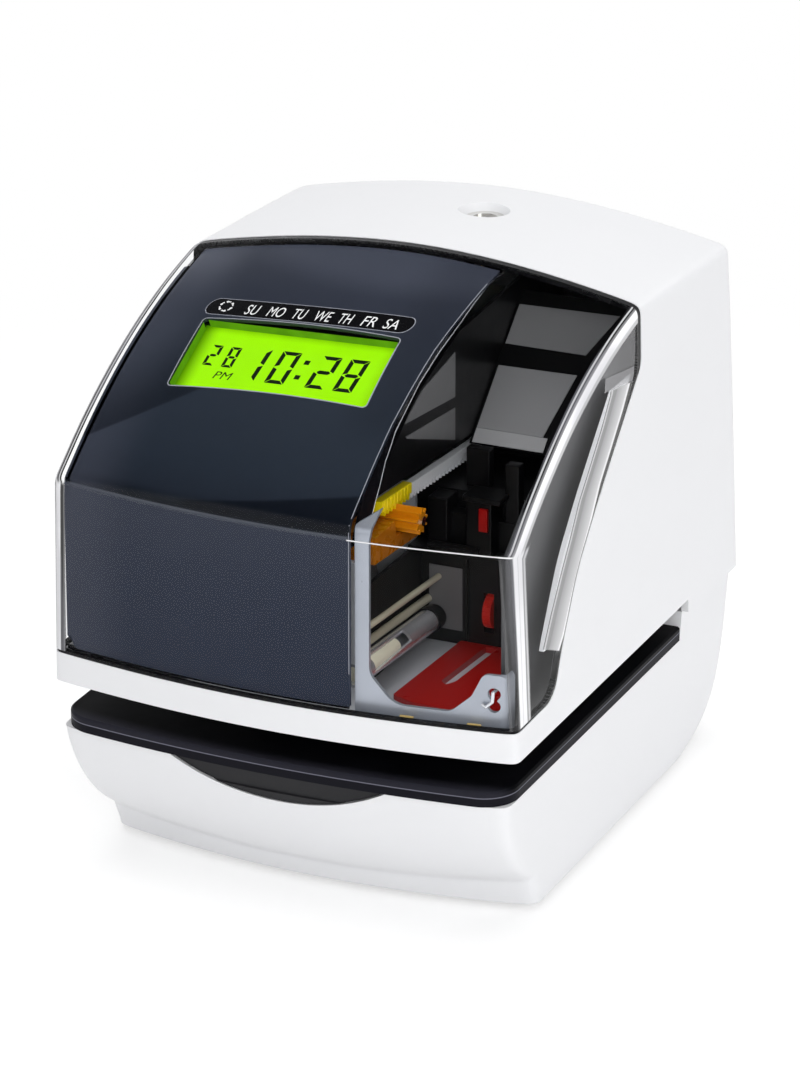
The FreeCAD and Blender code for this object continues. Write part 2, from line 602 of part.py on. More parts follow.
def build_pinion():
    """Seven broad teeth on a long shaft from the motor."""
    pitch_radius = tooth_module * pinion_teeth / 2
    root, tip = pitch_radius - 1.2 * tooth_module, pitch_radius + 0.85 * tooth_module
    gear = rod(root, (pinion_left_x, pinion_y, pinion_z), (pinion_right_x, pinion_y, pinion_z))
    for index in range(pinion_teeth):
        angle = math.pi / 2 + 2 * math.pi * index / pinion_teeth
        points = []
        for radius, half in ((root - 0.3, 0.75), (pitch_radius, 0.34), (tip, 0.165)):
            points.append((radius, half))
        outline = points + [(radius, -half) for radius, half in reversed(points)]
        corners = []
        for radius, side in outline:
            corners.append((pinion_left_x, pinion_y + radius * math.cos(angle) - side * math.sin(angle),
                            pinion_z + radius * math.sin(angle) + side * math.cos(angle)))
        gear = gear.fuse(tooth_wire(corners).extrude(Vector(pinion_right_x - pinion_left_x, 0, 0)))
    shaft_hole = rod(pinion_shaft_radius, (0, pinion_y, pinion_z), (40, pinion_y, pinion_z))
    parts["drive_pinion"] = with_slide(gear.removeSplitter().cut(shaft_hole))
    parts["pinion_shaft"] = rod(pinion_shaft_radius, (motor_right_x + 0.5, pinion_y, pinion_z),
                                (pinion_right_x + 0.6, pinion_y, pinion_z))
    shaft_end = (motor_right_x, pinion_y, pinion_z)
    can = rod(motor_radius, (motor_right_x - motor_length, pinion_y, pinion_z), shaft_end)
    clearance = rod(2.2, (motor_right_x - 3, pinion_y, pinion_z), (0, pinion_y, pinion_z))
    parts["drive_motor"] = can.cut(clearance)
    plate = box(motor_right_x, motor_right_x + 1.6, pinion_y - 19, pinion_y + 19, head_plate_top, 127)
    plate = plate.cut(box(-40, -20, -80, pinion_y - 12, 118, 140))
    plate = plate.cut(clearance)
    bearing = prism("yz", 8.5, 12.7, [(-66, head_plate_top), (-38, head_plate_top), (-38, 70), (-46, 100),
                                      (-46, 119.4, 4), (-56, 119.4, 4), (-56, 100), (-66, 70)])
    sleeve = rod(pinion_shaft_radius + running_gap, (0, pinion_y, pinion_z), (20, pinion_y, pinion_z))
    parts["drive_brackets"] = Part.makeCompound([plate, bearing.cut(sleeve)])


def build_bay():
    """What shows through the clear cover: bracket, rods, tube, ribbon and black linings."""
    outline = [(24.9, 62.6), (70, 62.6), (70, 85, 2.5), (63.2, 85.2, 2.5), (59.8, 78, 4),
               (53.5, 72.4, 4), (36.6, 72.4, 8), (29.2, 81, 6), (29.2, 122), (30.5, 130), (24.9, 126.4, 1)]
    bracket = layer(bracket_inset, bracket_inset + bracket_thickness).common(prism("xz", -far, 0, outline))
    bracket = bracket.common(box(-far, far, -far, -75, 0, far))
    for z in (75.5, 79.3):
        bracket = bracket.cut(rod(1.9, (hook_x, -far, z), (hook_x, 0, z)))
    bracket = bracket.cut(box(hook_x - 1, hook_x + 1, -far, 0, 75.5, 79.3))
    shelf = box(34, 58, -90, -78.1, head_plate_z, head_plate_top + 0.4).common(case_solid(bracket_inset))
    parts["front_bracket"] = fuse(bracket, shelf)
    bends = [(hook_x, -76, 80.1), (hook_x, -82.6, 80.1), (hook_x - 0.1, -82.9, 77.3),
             (hook_x - 2, -83.1, 75.5), (hook_x - 3.2, -83.2, 76.3)]
    wires = [rod(0.5, start, end) for start, end in zip(bends, bends[1:])]
    knees = [Part.makeSphere(0.5, Vector(*bend)) for bend in bends[1:-1]]
    parts["tension_hook"] = fuse(*wires, *knees)
    parts["tie_rods"] = Part.makeCompound([sloped_rod(1.0, tube_x, 85.2, -76.35, -16.75),
                                           sloped_rod(1.3, tube_x - 3.5, 77.5, -76.35, -16.75)])
    barrel = sloped_rod(tube_radius, tube_x, tube_z, -78, -22.5)
    barrel = barrel.cut(sloped_rod(core_radius, tube_x, tube_z, -90, 0))
    parts["ribbon_tube"] = barrel.cut(box(tube_x + 0.6, 26, -70, -44.4, tube_z + 0.6, 80))
    parts["tube_core"] = sloped_rod(core_radius, tube_x, tube_z, -76, -50)
    collar = sloped_rod(4.1, tube_x, tube_z, -25.4, -22.5)
    collar = collar.cut(sloped_rod(tube_radius, tube_x, tube_z, -90, 0))
    parts["tube_collar"] = fuse(collar, sloped_rod(3.9, tube_x, tube_z, -22.5, -20),
                                sloped_rod(2.0, tube_x, tube_z, -20.1, -16.75))
    mask = [(25.9, -63, 1), (34, -66, 6), (50, -66.5, 6), (60, -60, 4), (62, -18.3), (28, -18.3)]
    slot = [(34.8, -48, 0.8), (37.1, -50.3, 0.8), (38.9, -46.6, 0.8), (40.6, -19.5), (36.7, -19.5)]
    mask = prism("xy", head_plate_top, head_plate_top + 2, mask)
    parts["ribbon_mask"] = mask.cut(prism("xy", 60, 70, slot))
    wall = box(12.9, cheek_x, -16.6, -15, head_plate_top, bay_step_z)
    wall = wall.cut(box(cassette_left_x - 0.3, cassette_right_x + 0.3, -20, 0, 60, cassette_top_z + 0.3))
    step = box(12.9, cheek_x, -16.6, 17, bay_step_z - 1.2, bay_step_z)
    upper = prism("xz", 15.8, 17, [(12.9, bay_step_z - 1), (cheek_x, bay_step_z - 1), (cheek_x, 135),
                                   (23.9, 135), (23.9, 123), (12.9, 123)])
    parts["bay_back"] = fuse(wall, step, upper, box(12.9, 14.1, -66, -15, head_plate_top, 93.5))
    shelf = box(14, 64, -26, -16.6, cassette_top_z + 0.4, 96)
    blocks = [soft_box(19.8, 26.2, -24.5, -16.6, 95.5, 112), soft_box(32.6, 41, -25.6, -16.6, 95.5, 113.4),
              soft_box(25.8, 33, -21.5, -16.6, 95.5, 107), soft_box(40.6, 57, -20.5, -16.6, 95.5, 106),
              soft_box(31.6, 44, -26.2, -16.6, 113, 114.8), soft_box(42.8, 47.4, -20, -16, 105.5, 124),
              soft_box(27, 34.6, -12.5, -9, bay_step_z - 0.5, 124.5),
              rod(1.3, (20.6, -25.6, 97.4), (37, -25.6, 97.4))]
    parts["mechanism_block"] = fuse(shelf, *blocks).cut(parts["bay_back"])
    parts["ribbon_flag"] = box(37.3, 40, -26.6, -25.6, 104.4, 111.4)
    guide = prism("yz", 12.7, 24.5, [(-73, 108.6, 1), (-40, 106.6, 1), (-41.5, 112, 1), (-57, 112),
                                     (-58, 117.2, 1), (-73, 116.4, 2)])
    guide = guide.cut(rod(4.4, (0, pinion_y, pinion_z), (40, pinion_y, pinion_z)))
    parts["amber_guide"] = guide
    hood = prism("yz", 23.5, 60, [(-2.2, 121.7), (-0.7, 120.9), (38, 155.2), (38, 157.4)])
    parts["bay_hood"] = fuse(hood, box(59, cheek_x, 33, 38, 149, 153))
    side = [(-71, 128.4), (-71, 129.6), (-63, 135), (-40, 150), (-10, 159.5), (38, 162), (cross_y, 148.8),
            (cross_y, 141), (38, 150), (6, 123.6)]
    parts["bay_side"] = prism("yz", 22.3, 23.5, side)


def build_cassette():
    cassette = box(cassette_left_x, cassette_right_x, cassette_front_y, cassette_back_y,
                   head_plate_top, cassette_top_z)
    uprights = [edge for edge in cassette.Edges if edge.BoundBox.ZLength > 20]
    cassette = cassette.makeFillet(1.5, uprights)
    half = wheel_width / 2 + 0.3
    pocket = box(wheel_x - half, wheel_x + half, -40, wheel_y, wheel_z - 6.4, wheel_z + 6.4)
    pocket = pocket.fuse(rod(6.4, (wheel_x - half, wheel_y, wheel_z), (wheel_x + half, wheel_y, wheel_z)))
    axle_bore = rod(1.2 + running_gap, (wheel_x - 4, wheel_y, wheel_z), (wheel_x + 4, wheel_y, wheel_z))
    parts["ribbon_cassette"] = cassette.cut(pocket).cut(axle_bore)
    half = wheel_width / 2
    wheel = rod(wheel_radius, (wheel_x - half, wheel_y, wheel_z), (wheel_x + half, wheel_y, wheel_z))
    for index in range(24):
        angle = math.pi * index / 12
        y, z = wheel_y + wheel_radius * math.cos(angle), wheel_z + wheel_radius * math.sin(angle)
        wheel = wheel.cut(rod(0.28, (wheel_x - 3, y, z), (wheel_x + 3, y, z)))
    axle = rod(1.2, (wheel_x - 3.8, wheel_y, wheel_z), (wheel_x + 3.8, wheel_y, wheel_z))
    parts["ribbon_wheel"] = fuse(wheel, axle)


def build_display():
    glass_low = glass_top - glass_thickness
    light_low = glass_low - light_thickness
    frame = around_window(2.8, light_low, glass_top + 0.8)
    frame = frame.cut(around_window(1.6, -20, glass_top)).cut(around_window(0.4, -20, 0))
    parts["lcd_frame"] = frame
    parts["lcd_glass"] = around_window(1.5, glass_low, glass_top)
    parts["lcd_backlight"] = around_window(1.5, light_low, glass_low - 0.1)
    board_low = light_low - 1.6
    board = display_box(-48, 34, -34, 26, board_low, light_low)
    switches = []
    for number, u in enumerate(button_places, 1):
        body = box(u - 3.2, u + 3.2, button_v - 3.2, button_v + 3.2, light_low, light_low + 2.3)
        switches.append(on_display(body))
        cap = rod(3.0, (u, button_v, light_low + 2.8), (u, button_v, light_low + 4.9))
        stem = rod(1.6, (u, button_v, light_low + 0.6), (u, button_v, light_low + 2.8))
        parts["set_button_%d" % number] = on_display(fuse(cap, stem))
    board = fuse(board, *switches)
    for u in button_places:
        board = board.cut(on_display(rod(1.6 + running_gap, (u, button_v, light_low), (u, button_v, 0))))
    parts["display_board"] = board
    plate_top = board_low - 2.2
    carrier = [display_box(-51, 37.1, -20, 20, plate_top - 1.2, plate_top)]
    for u in (-40, 30):
        for v in (-16, 16):
            carrier.append(on_display(rod(2.5, (u, v, plate_top), (u, v, board_low))))
    parts["display_bracket"] = fuse(*carrier)


def build_electrics():
    board = box(-58, 20, 0, 44, 12, 13.6)
    pieces = [box(-40, -20, 10, 24, 13.6, 16), box(-10, 4, 8, 22, 13.6, 15.5)]
    pieces += [rod(4, (x, 34, 13.6), (x, 34, 26)) for x in (-48, -36, -24)]
    pieces.append(box(-6, 14, 30, 40, 13.6, 22))
    parts["main_board"] = fuse(board, *pieces)
    core = box(30, 60, -10, 24, floor_top_z, 26).cut(box(36, 54, -20, 40, 9, 21))
    winding = box(36.4, 53.6, -14, 28, 9.4, 20.6)
    parts["power_module"] = fuse(core, winding, box(36, 54, -2, 16, 8, 22))
    parts["backup_battery"] = Part.makeCompound([rod(7, (-56, y, 11), (-26, y, 11)) for y in (-34, -19.8)])
    collar = tube(inlet_radius - 0.1, 2.9, (inlet_x, 84, inlet_z), (inlet_x, 91.4, inlet_z))
    pin = rod(1.0, (inlet_x, 78, inlet_z), (inlet_x, 90, inlet_z))
    body = box(inlet_x - 5.5, inlet_x + 5.5, 76, 85, inlet_z - 6, inlet_z + 6)
    body = body.cut(rod(2.9, (inlet_x, 80, inlet_z), (inlet_x, 100, inlet_z)))
    parts["dc_inlet"] = fuse(body, collar, pin)


def export():
    os.makedirs("parts", exist_ok=True)
    for name, shape in parts.items():
        shape.exportStep("parts/" + name + ".step")
        print(name, len(shape.Solids), round(shape.Volume), shape.isValid())


build_case()
build_lock()
build_base()
build_floor()
build_table()
build_frame()
build_carriage()
build_pinion()
build_bay()
build_cassette()
build_display()
build_electrics()
export()
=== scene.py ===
import math

import bmesh
import bpy
from mathutils import Matrix, Vector
from mathutils.bvhtree import BVHTree


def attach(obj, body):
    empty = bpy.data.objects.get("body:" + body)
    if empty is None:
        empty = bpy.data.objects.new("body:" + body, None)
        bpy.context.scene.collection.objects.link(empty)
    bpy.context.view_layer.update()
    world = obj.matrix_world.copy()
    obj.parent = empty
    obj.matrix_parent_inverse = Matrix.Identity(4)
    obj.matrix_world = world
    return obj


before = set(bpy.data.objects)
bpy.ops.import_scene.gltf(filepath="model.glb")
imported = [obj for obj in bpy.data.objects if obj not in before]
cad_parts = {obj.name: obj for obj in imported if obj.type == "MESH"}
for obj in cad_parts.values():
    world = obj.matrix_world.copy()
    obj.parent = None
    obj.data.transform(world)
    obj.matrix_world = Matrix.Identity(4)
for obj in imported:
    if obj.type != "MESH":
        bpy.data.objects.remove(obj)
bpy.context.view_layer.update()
mm = 0.001


# shader sums

class Wire:
    # one output of a shader node, so that sums on it read as plain sums
    def __init__(self, finish, socket):
        self.finish = finish
        self.socket = socket

    def sum(self, operation, first, second):
        return self.finish.node("ShaderNodeMath", {"operation": operation}, {0: first, 1: second})

    def __add__(self, other): return self.sum("ADD", self, other)
    def __radd__(self, other): return self.sum("ADD", other, self)
    def __sub__(self, other): return self.sum("SUBTRACT", self, other)
    def __rsub__(self, other): return self.sum("SUBTRACT", other, self)
    def __mul__(self, other): return self.sum("MULTIPLY", self, other)
    def __rmul__(self, other): return self.sum("MULTIPLY", other, self)
    def __truediv__(self, other): return self.sum("DIVIDE", self, other)
    def __pow__(self, other): return self.sum("POWER", self, other)
    def __abs__(self): return self.sum("ABSOLUTE", self, 0.0)


class Finish:
    # a material round one Principled shader
    def __init__(self, name, settings):
        self.block = bpy.data.materials.new(name)
        self.block.use_nodes = True
        self.tree = self.block.node_tree
        self.tree.nodes.clear()
        self.shader = self.node("ShaderNodeBsdfPrincipled", {}, settings)
        self.output = self.tree.nodes.new("ShaderNodeOutputMaterial")
        self.feed(self.output.inputs["Surface"], self.shader)

    def feed(self, socket, value):
        if isinstance(value, Wire):
            self.tree.links.new(value.socket, socket)
        else:
            socket.default_value = value

    def node(self, kind, settings, values, out=0):
        made = self.tree.nodes.new(kind)
        for key, value in settings.items():
            if key == "stops":
                ramp = made.color_ramp.elements
                ramp[0].position, ramp[1].position = value[0][0], value[-1][0]
                for place, rgb in value[1:-1]:
                    ramp.new(place)
                for stop, (place, rgb) in zip(ramp, value):
                    stop.color = (*rgb, 1.0)
            else:
                setattr(made, key, value)
        for key, value in values.items():
            self.feed(made.inputs[key], value)
        return Wire(self, made.outputs[out])

    def vary(self, **wires):
        # names of shader inputs with their spaces left out
        for name, value in wires.items():
            for socket in self.shader.socket.node.inputs:
                if socket.name.replace(" ", "") == name:
                    self.feed(socket, value)

    def place(self):
        return self.node("ShaderNodeTexCoord", {}, {}, "Object")

    def along(self, axis):
        return self.node("ShaderNodeSeparateXYZ", {}, {0: self.place()}, axis)

    def noise(self, size, detail=2.0, stretch=(1, 1, 1)):
        # size is the width of a grain in metres
        scaled = self.node("ShaderNodeVectorMath", {"operation": "MULTIPLY"}, {0: self.place(), 1: stretch})
        return self.node("ShaderNodeTexNoise", {}, {"Vector": scaled, "Scale": 1 / size, "Detail": detail})

    def blend(self, factor, first, second):
        kinds = {"data_type": "RGBA", "blend_type": "MIX"}
        made = self.node("ShaderNodeMix", kinds, {}, 2).socket.node
        for index, value in ((0, factor), (6, first), (7, second)):
            self.feed(made.inputs[index], value)
        return Wire(self, made.outputs[2])

    def step(self, wire, low, high):
        kinds = {"interpolation_type": "SMOOTHSTEP"}
        return self.node("ShaderNodeMapRange", kinds, {0: wire, 1: low, 2: high, 3: 0.0, 4: 1.0})

    def band(self, wire, low, high, soft=0.012):
        # 1 between two values of the wire, 0 outside them
        return self.step(wire, low - soft, low + soft) * (1 - self.step(wire, high - soft, high + soft))

    def least(self, first, second):
        return self.node("ShaderNodeMath", {"operation": "MINIMUM"}, {0: first, 1: second})

    def bump(self, height, strength, distance):
        values = {"Height": height, "Strength": strength, "Distance": distance}
        self.vary(Normal=self.node("ShaderNodeBump", {}, values))


def colour(*rgb):
    return (*rgb, 1.0)


def shaded(rgb, factor):
    return colour(*[min(1.0, part * factor) for part in rgb])


# finishes

def mouldedPlastic(name, rgb, roughness=0.45, grain=0.00025, depth=0.000008, variation=0.06, coat=0.0,
                   gloss=0.5):
    # moulded plastic: fine spark texture, slow change of tone and gloss
    finish = Finish(name, {"Roughness": roughness, "Coat Weight": coat, "Coat Roughness": 0.08,
                           "Specular IOR Level": gloss})
    slow = finish.noise(0.03, 1.0)
    tone = finish.blend(slow, shaded(rgb, 1 - variation), shaded(rgb, 1 + variation))
    finish.vary(BaseColor=tone, Roughness=roughness + (finish.noise(0.004) - 0.5) * 0.12)
    finish.bump(finish.noise(grain, 2.0), 0.2, depth)
    return finish


def metalSheet(name, rgb, roughness=0.32, brushed=(1, 40, 1), metallic=1.0):
    finish = Finish(name, {"Metallic": metallic})
    grain = finish.noise(0.002, 4.0, brushed)
    tone = finish.blend(finish.noise(0.012), shaded(rgb, 0.9), shaded(rgb, 1.08))
    finish.vary(BaseColor=tone, Roughness=roughness + (grain - 0.5) * 0.25)
    finish.bump(grain, 0.15, 0.00002)
    return finish


def tableFinish(name):
    # black table with a painted highlight line along the top of its rim, painted light on its top near the
    # front edge, painted shade further in under the case, and its rim face painted lighter than its top
    look = {"black": (0.002, 0.002, 0.003), "rim": (0.010, 0.010, 0.014), "edge": (0.022, 0.022, 0.030),
            "line": (0.16, 0.16, 0.20), "lineZ": (0.04835, 0.04865), "rimZ": (0.0482, 0.0484),
            "frontY": -0.0926, "frontBow": 1.3, "edgeReach": (0.0005, 0.0065)}
    finish = Finish(name, {"Roughness": 0.4, "Specular IOR Level": 0.04})
    x, y, z = [finish.along(axis) for axis in "XYZ"]
    # painted highlight: a light line along the top of the rim
    line = finish.band(z, *look["lineZ"], 0.00008)
    # painted light on the top near its front edge, painted shade further in under the case
    inward = y - look["frontY"] - x * x * look["frontBow"]
    litNearEdge = 1 - finish.step(inward, *look["edgeReach"])
    top = finish.blend(litNearEdge, colour(*look["black"]), colour(*look["edge"]))
    # painted light: the rim's front face lighter than the shaded top
    tone = finish.blend(finish.step(z, *look["rimZ"]), colour(*look["rim"]), top)
    finish.vary(BaseColor=finish.blend(line, tone, colour(*look["line"])),
                Roughness=0.36 + finish.noise(0.004) * 0.1)
    return finish


def paintedSteel(name, rgb, roughness=0.5):
    finish = Finish(name, {"Metallic": 0.0, "Coat Weight": 0.15, "Coat Roughness": 0.3})
    finish.vary(BaseColor=finish.blend(finish.noise(0.02), shaded(rgb, 0.92), shaded(rgb, 1.08)),
                Roughness=roughness + (finish.noise(0.003) - 0.5) * 0.1)
    finish.bump(finish.noise(0.0006, 2.0), 0.2, 0.00003)
    return finish


# the clear hood's form in millimetres, as its marks need it
hoodShape = {"halfWidth": 75, "sideLevel": 60, "sideLean": 0.0175, "wall": 2.5,
             "frontY": -84.9, "skinY": -92.24, "frontBow": 0.001364, "frontTop": 122, "frontSpread": 0.055,
             "slopeStart": (-84.3, 124.4), "slopeWay": (0.9005, 0.4349), "slopeLength": 100.9,
             "slopeRise": 26.8, "cornerReach": 6.5, "cornerLean": 0.22, "lowZ": (122.5, 124.5),
             "seam": [(76.7, -55.2), (82.3, -51.7), (87.3, -46.7), (96.5, -40.4), (105.5, -33.5),
                      (114.4, -26.1), (123.7, -19.0), (131.9, -10.3), (140.4, -1.6), (148.5, 5.4),
                      (155.0, 6.6)],
             "seamFront": -60, "seamDepth": 70,
             "ledgeTop": (-13, 149.5, 0.157), "ledgeFoot": (-64.8, 88.1, 0.443)}

# its marks, painted highlights and painted shade: a distance in millimetres and the level there
hoodLook = {"tint": (0.985, 0.987, 0.99), "slopeMirror": 0.002, "frontMirror": 0.004, "grazing": 0.35,
            "creaseZ": (123.06, 123.5), "creaseWhite": (0.95, 0.95, 0.96), "bayX": 24.3,
            "dull": (0.30, 0.30, 0.34), "haze": (0.42, 0.42, 0.44),
            "frontReach": (-1.2, 7.5), "leftReach": (-5.0, 3.0), "slopeReach": (-2.6, 4.9),
            "faintReach": (-5.2, -1.2), "ledgeReach": (0.2, 19.3),
            "slope": [(-3.0, 0.004), (-1.95, 0.004), (-1.8, 0.60), (-1.3, 0.60), (-1.15, 0.004), (-0.8, 0.01),
                      (-0.6, 0.15), (0.1, 0.27), (0.4, 0.97), (3.1, 0.97), (3.4, 0.62), (4.6, 0.55),
                      (6.0, 0.5)],
            "front": [(-6.0, 0.12), (-4.3, 0.12), (-4.1, 0.012), (-1.4, 0.02), (-0.4, 0.09), (0.2, 0.97),
                      (1.9, 0.97), (2.2, 0.66), (2.6, 0.95), (4.8, 0.95), (5.2, 0.30), (5.8, 0.32),
                      (6.2, 0.60), (6.8, 0.62), (7.2, 0.25), (9.0, 0.25)],
            "left": [(-6.0, 0.14), (-4.5, 0.16), (-4.3, 0.03), (-3.2, 0.04), (-2.9, 0.88), (-0.7, 0.88),
                     (-0.3, 0.10), (3.0, 0.10)],
            "ledge": [(0.0, 0.004), (2.4, 0.004), (2.8, 0.88), (4.2, 0.85), (4.6, 0.62), (13.2, 0.33),
                      (14.2, 0.24), (16.9, 0.26), (17.3, 0.58), (18.4, 0.50), (18.8, 0.03), (26.0, 0.03)]}


def clearPlastic(name):
    # clear hood: see-through walls, painted highlights and dark bands of painted shade along its rounded
    # edges, a painted highlight along its crease, and beside the seam the ledge behind it painted on with
    # painted highlight lines and painted shade
    shape, look = hoodShape, hoodLook
    finish = Finish(name, {"Roughness": 0.12, "IOR": 1.45})
    geometry = finish.node("ShaderNodeNewGeometry", {}, {}, "Normal")
    behind = Wire(finish, geometry.socket.node.outputs["Backfacing"])
    x, y, z = [finish.along(axis) * 1000 for axis in "XYZ"]

    def readOff(wire, marks):
        low, span = look[marks][0][0], look[marks][-1][0] - look[marks][0][0]
        ramp = [((place - low) / span, (level, level, min(1.0, level * 1.02)))
                for place, level in look[marks]]
        return finish.node("ShaderNodeValToRGB", {"stops": ramp}, {"Fac": (wire - low) / span})

    # millimetres from the side, the front and the slope, and across the rounded edge between them
    startY, startZ = shape["slopeStart"]
    wayY, wayZ = shape["slopeWay"]
    fromSide = shape["halfWidth"] - (z - shape["sideLevel"]) * shape["sideLean"] - abs(x)
    along = (y - startY) * wayY + (z - startZ) * wayZ
    part = along / shape["slopeLength"]
    fromSlope = part * (1 - part) * shape["slopeRise"] - ((z - startZ) * wayY - (y - startY) * wayZ)
    fromFront = finish.least(y - shape["frontY"], fromSlope)
    # the marks lie on the outer skin alone
    fromSkin = y - shape["skinY"] - x * x * shape["frontBow"]
    depth = finish.least(finish.least(fromSkin, fromSlope), fromSide)
    corner = finish.least(abs(fromFront - fromSide), shape["cornerReach"]) * shape["cornerLean"]
    inside = depth - shape["wall"] + corner
    outer = 1 - finish.step(inside, -0.15, 0.15)
    waver = (finish.noise(0.006, 2.0, (1, 0.12, 0.12)) - 0.5) * 0.9
    left = 1 - finish.step(x, -1.0, 1.0)
    across = fromFront - fromSide + waver
    low = 1 - finish.step(z, *shape["lowZ"])
    acrossSlope = across + left
    acrossFront = across - (shape["frontTop"] - z) * shape["frontSpread"]
    # painted highlights and dark bands of painted shade across the rounded edges
    front = finish.blend(left, readOff(acrossFront, "front"), readOff(across, "left"))
    cornerHighlight = finish.blend(low, readOff(acrossSlope, "slope"), front)
    # grey breaks in the painted highlights
    dull = finish.step(finish.noise(0.0035, 2.0, (1, 0.08, 0.08)), 0.42, 0.6) * 0.3
    cornerHighlight = finish.blend(dull, cornerHighlight, colour(*look["dull"]))
    # how opaque the painted highlights are
    frontCover = finish.band(acrossFront, *look["frontReach"], 0.1) * (1 - left)
    frontCover = frontCover + finish.band(across, *look["leftReach"], 0.1) * left
    dense = finish.band(acrossSlope, *look["slopeReach"], 0.1) * (1 - low) + frontCover * low
    faint = finish.band(acrossFront, *look["faintReach"], 0.1) * low * (1 - left) * 0.55
    # ledge behind the seam, painted on with painted highlight lines and painted shade, measured forwards from
    # the seam
    seamLow, seamSpan = shape["seam"][0][0], shape["seam"][-1][0] - shape["seam"][0][0]
    seamStops = [((place - seamLow) / seamSpan, [(value - shape["seamFront"]) / shape["seamDepth"]] * 3)
                 for place, value in shape["seam"]]
    seamLevel = finish.node("ShaderNodeValToRGB", {"stops": seamStops}, {"Fac": (z - seamLow) / seamSpan})
    before = seamLevel * shape["seamDepth"] + shape["seamFront"] - y
    topY, topZ, topFall = shape["ledgeTop"]
    footY, footZ, footFall = shape["ledgeFoot"]
    under = topZ - (y - topY) * topFall - z
    over = z - footZ + (y - footY) * footFall
    ledge = finish.band(before, *look["ledgeReach"], 0.2) * finish.step(under, -0.3, 0.3)
    ledge = ledge * finish.step(over, -0.3, 0.3)
    shelf = finish.band(under, -4.6, -0.2, 0.2) * finish.band(before, 1.0, 24.0, 0.2) * 0.5
    upper = (1 - finish.step(under, -5.2, -4.4)) * finish.step(acrossSlope, 4.8, 5.2)
    upper = upper * finish.step(before, 0.6, 1.4) * 0.3
    side = (1 - left) * finish.step(across, 2.0, 3.0)
    # the ledge's painted highlight lines and painted shade, over the side wall
    tone = finish.blend(ledge * side, cornerHighlight, readOff(before, "ledge"))
    tone = finish.blend((shelf + upper) * side, tone, colour(*look["haze"]))
    # painted highlight along the crease, brightest in front of the bay
    crease = finish.band(z, *look["creaseZ"], 0.1) * (1 - finish.step(across, -0.6, 0.4))
    bright = crease * (0.12 + finish.step(x, look["bayX"] - 0.3, look["bayX"] + 0.3) * 0.8)
    shown = finish.least(dense + faint + bright + (ledge + shelf + upper) * side, 1.0) * outer
    finish.vary(BaseColor=finish.blend(bright, tone, colour(*look["creaseWhite"])),
                Roughness=0.1 + finish.noise(0.002, 3.0, (1, 0.05, 0.05)) * 0.1)
    facing = finish.node("ShaderNodeLayerWeight", {}, {"Blend": 0.5}, "Facing")
    plain = look["slopeMirror"] + low * (look["frontMirror"] - look["slopeMirror"])
    mirror = (plain + look["grazing"] * facing ** 5) * (1 - behind)
    through = finish.node("ShaderNodeBsdfTransparent", {}, {"Color": colour(*look["tint"])})
    gloss = finish.node("ShaderNodeBsdfGlossy", {}, {"Color": colour(1, 1, 1), "Roughness": 0.03})
    clear = finish.node("ShaderNodeMixShader", {}, {0: mirror, 1: through, 2: gloss})
    whole = finish.node("ShaderNodeMixShader", {}, {0: shown * (1 - behind), 1: clear, 2: finish.shader})
    finish.feed(finish.output.inputs["Surface"], whole)
    return finish


# painted light on the navy panel: its tones by height in millimetres, paler higher up where more light falls,
# a painted highlight at the crease with painted shade just above it, and where its painted light and painted
# shade lie
panelLook = {"lowZ": 70, "span": 110,
             "stops": [(70.0, (0.0175, 0.0235, 0.043)), (100.0, (0.0240, 0.0305, 0.0515)),
                       (122.6, (0.0305, 0.037, 0.058)), (122.9, (0.085, 0.095, 0.115)),
                       (123.4, (0.085, 0.095, 0.115)), (123.7, (0.004, 0.006, 0.010)),
                       (125.6, (0.005, 0.0075, 0.0125)), (127.5, (0.0125, 0.017, 0.026)),
                       (135.0, (0.0165, 0.023, 0.0345)), (146.0, (0.0205, 0.0275, 0.040)),
                       (166.0, (0.0275, 0.0325, 0.0475)), (169.3, (0.031, 0.036, 0.052)),
                       (172.4, (0.052, 0.0585, 0.081))],
             "pale": (0.060, 0.066, 0.090), "topLeft": (0.110, 0.120, 0.155), "shade": (0.002, 0.003, 0.006),
             "leftX": (-68, -45), "topZ": (160, 172), "rightX": (2, 22), "rightZ": (140, 150),
             "wedge": (-60, 138, 0.48), "wedgeX": (-38, -34), "wedgeZ": (125, 127),
             "foot": (-31, 126, 0.13), "footX": (-32, -27), "footZ": (123.6, 124.6)}


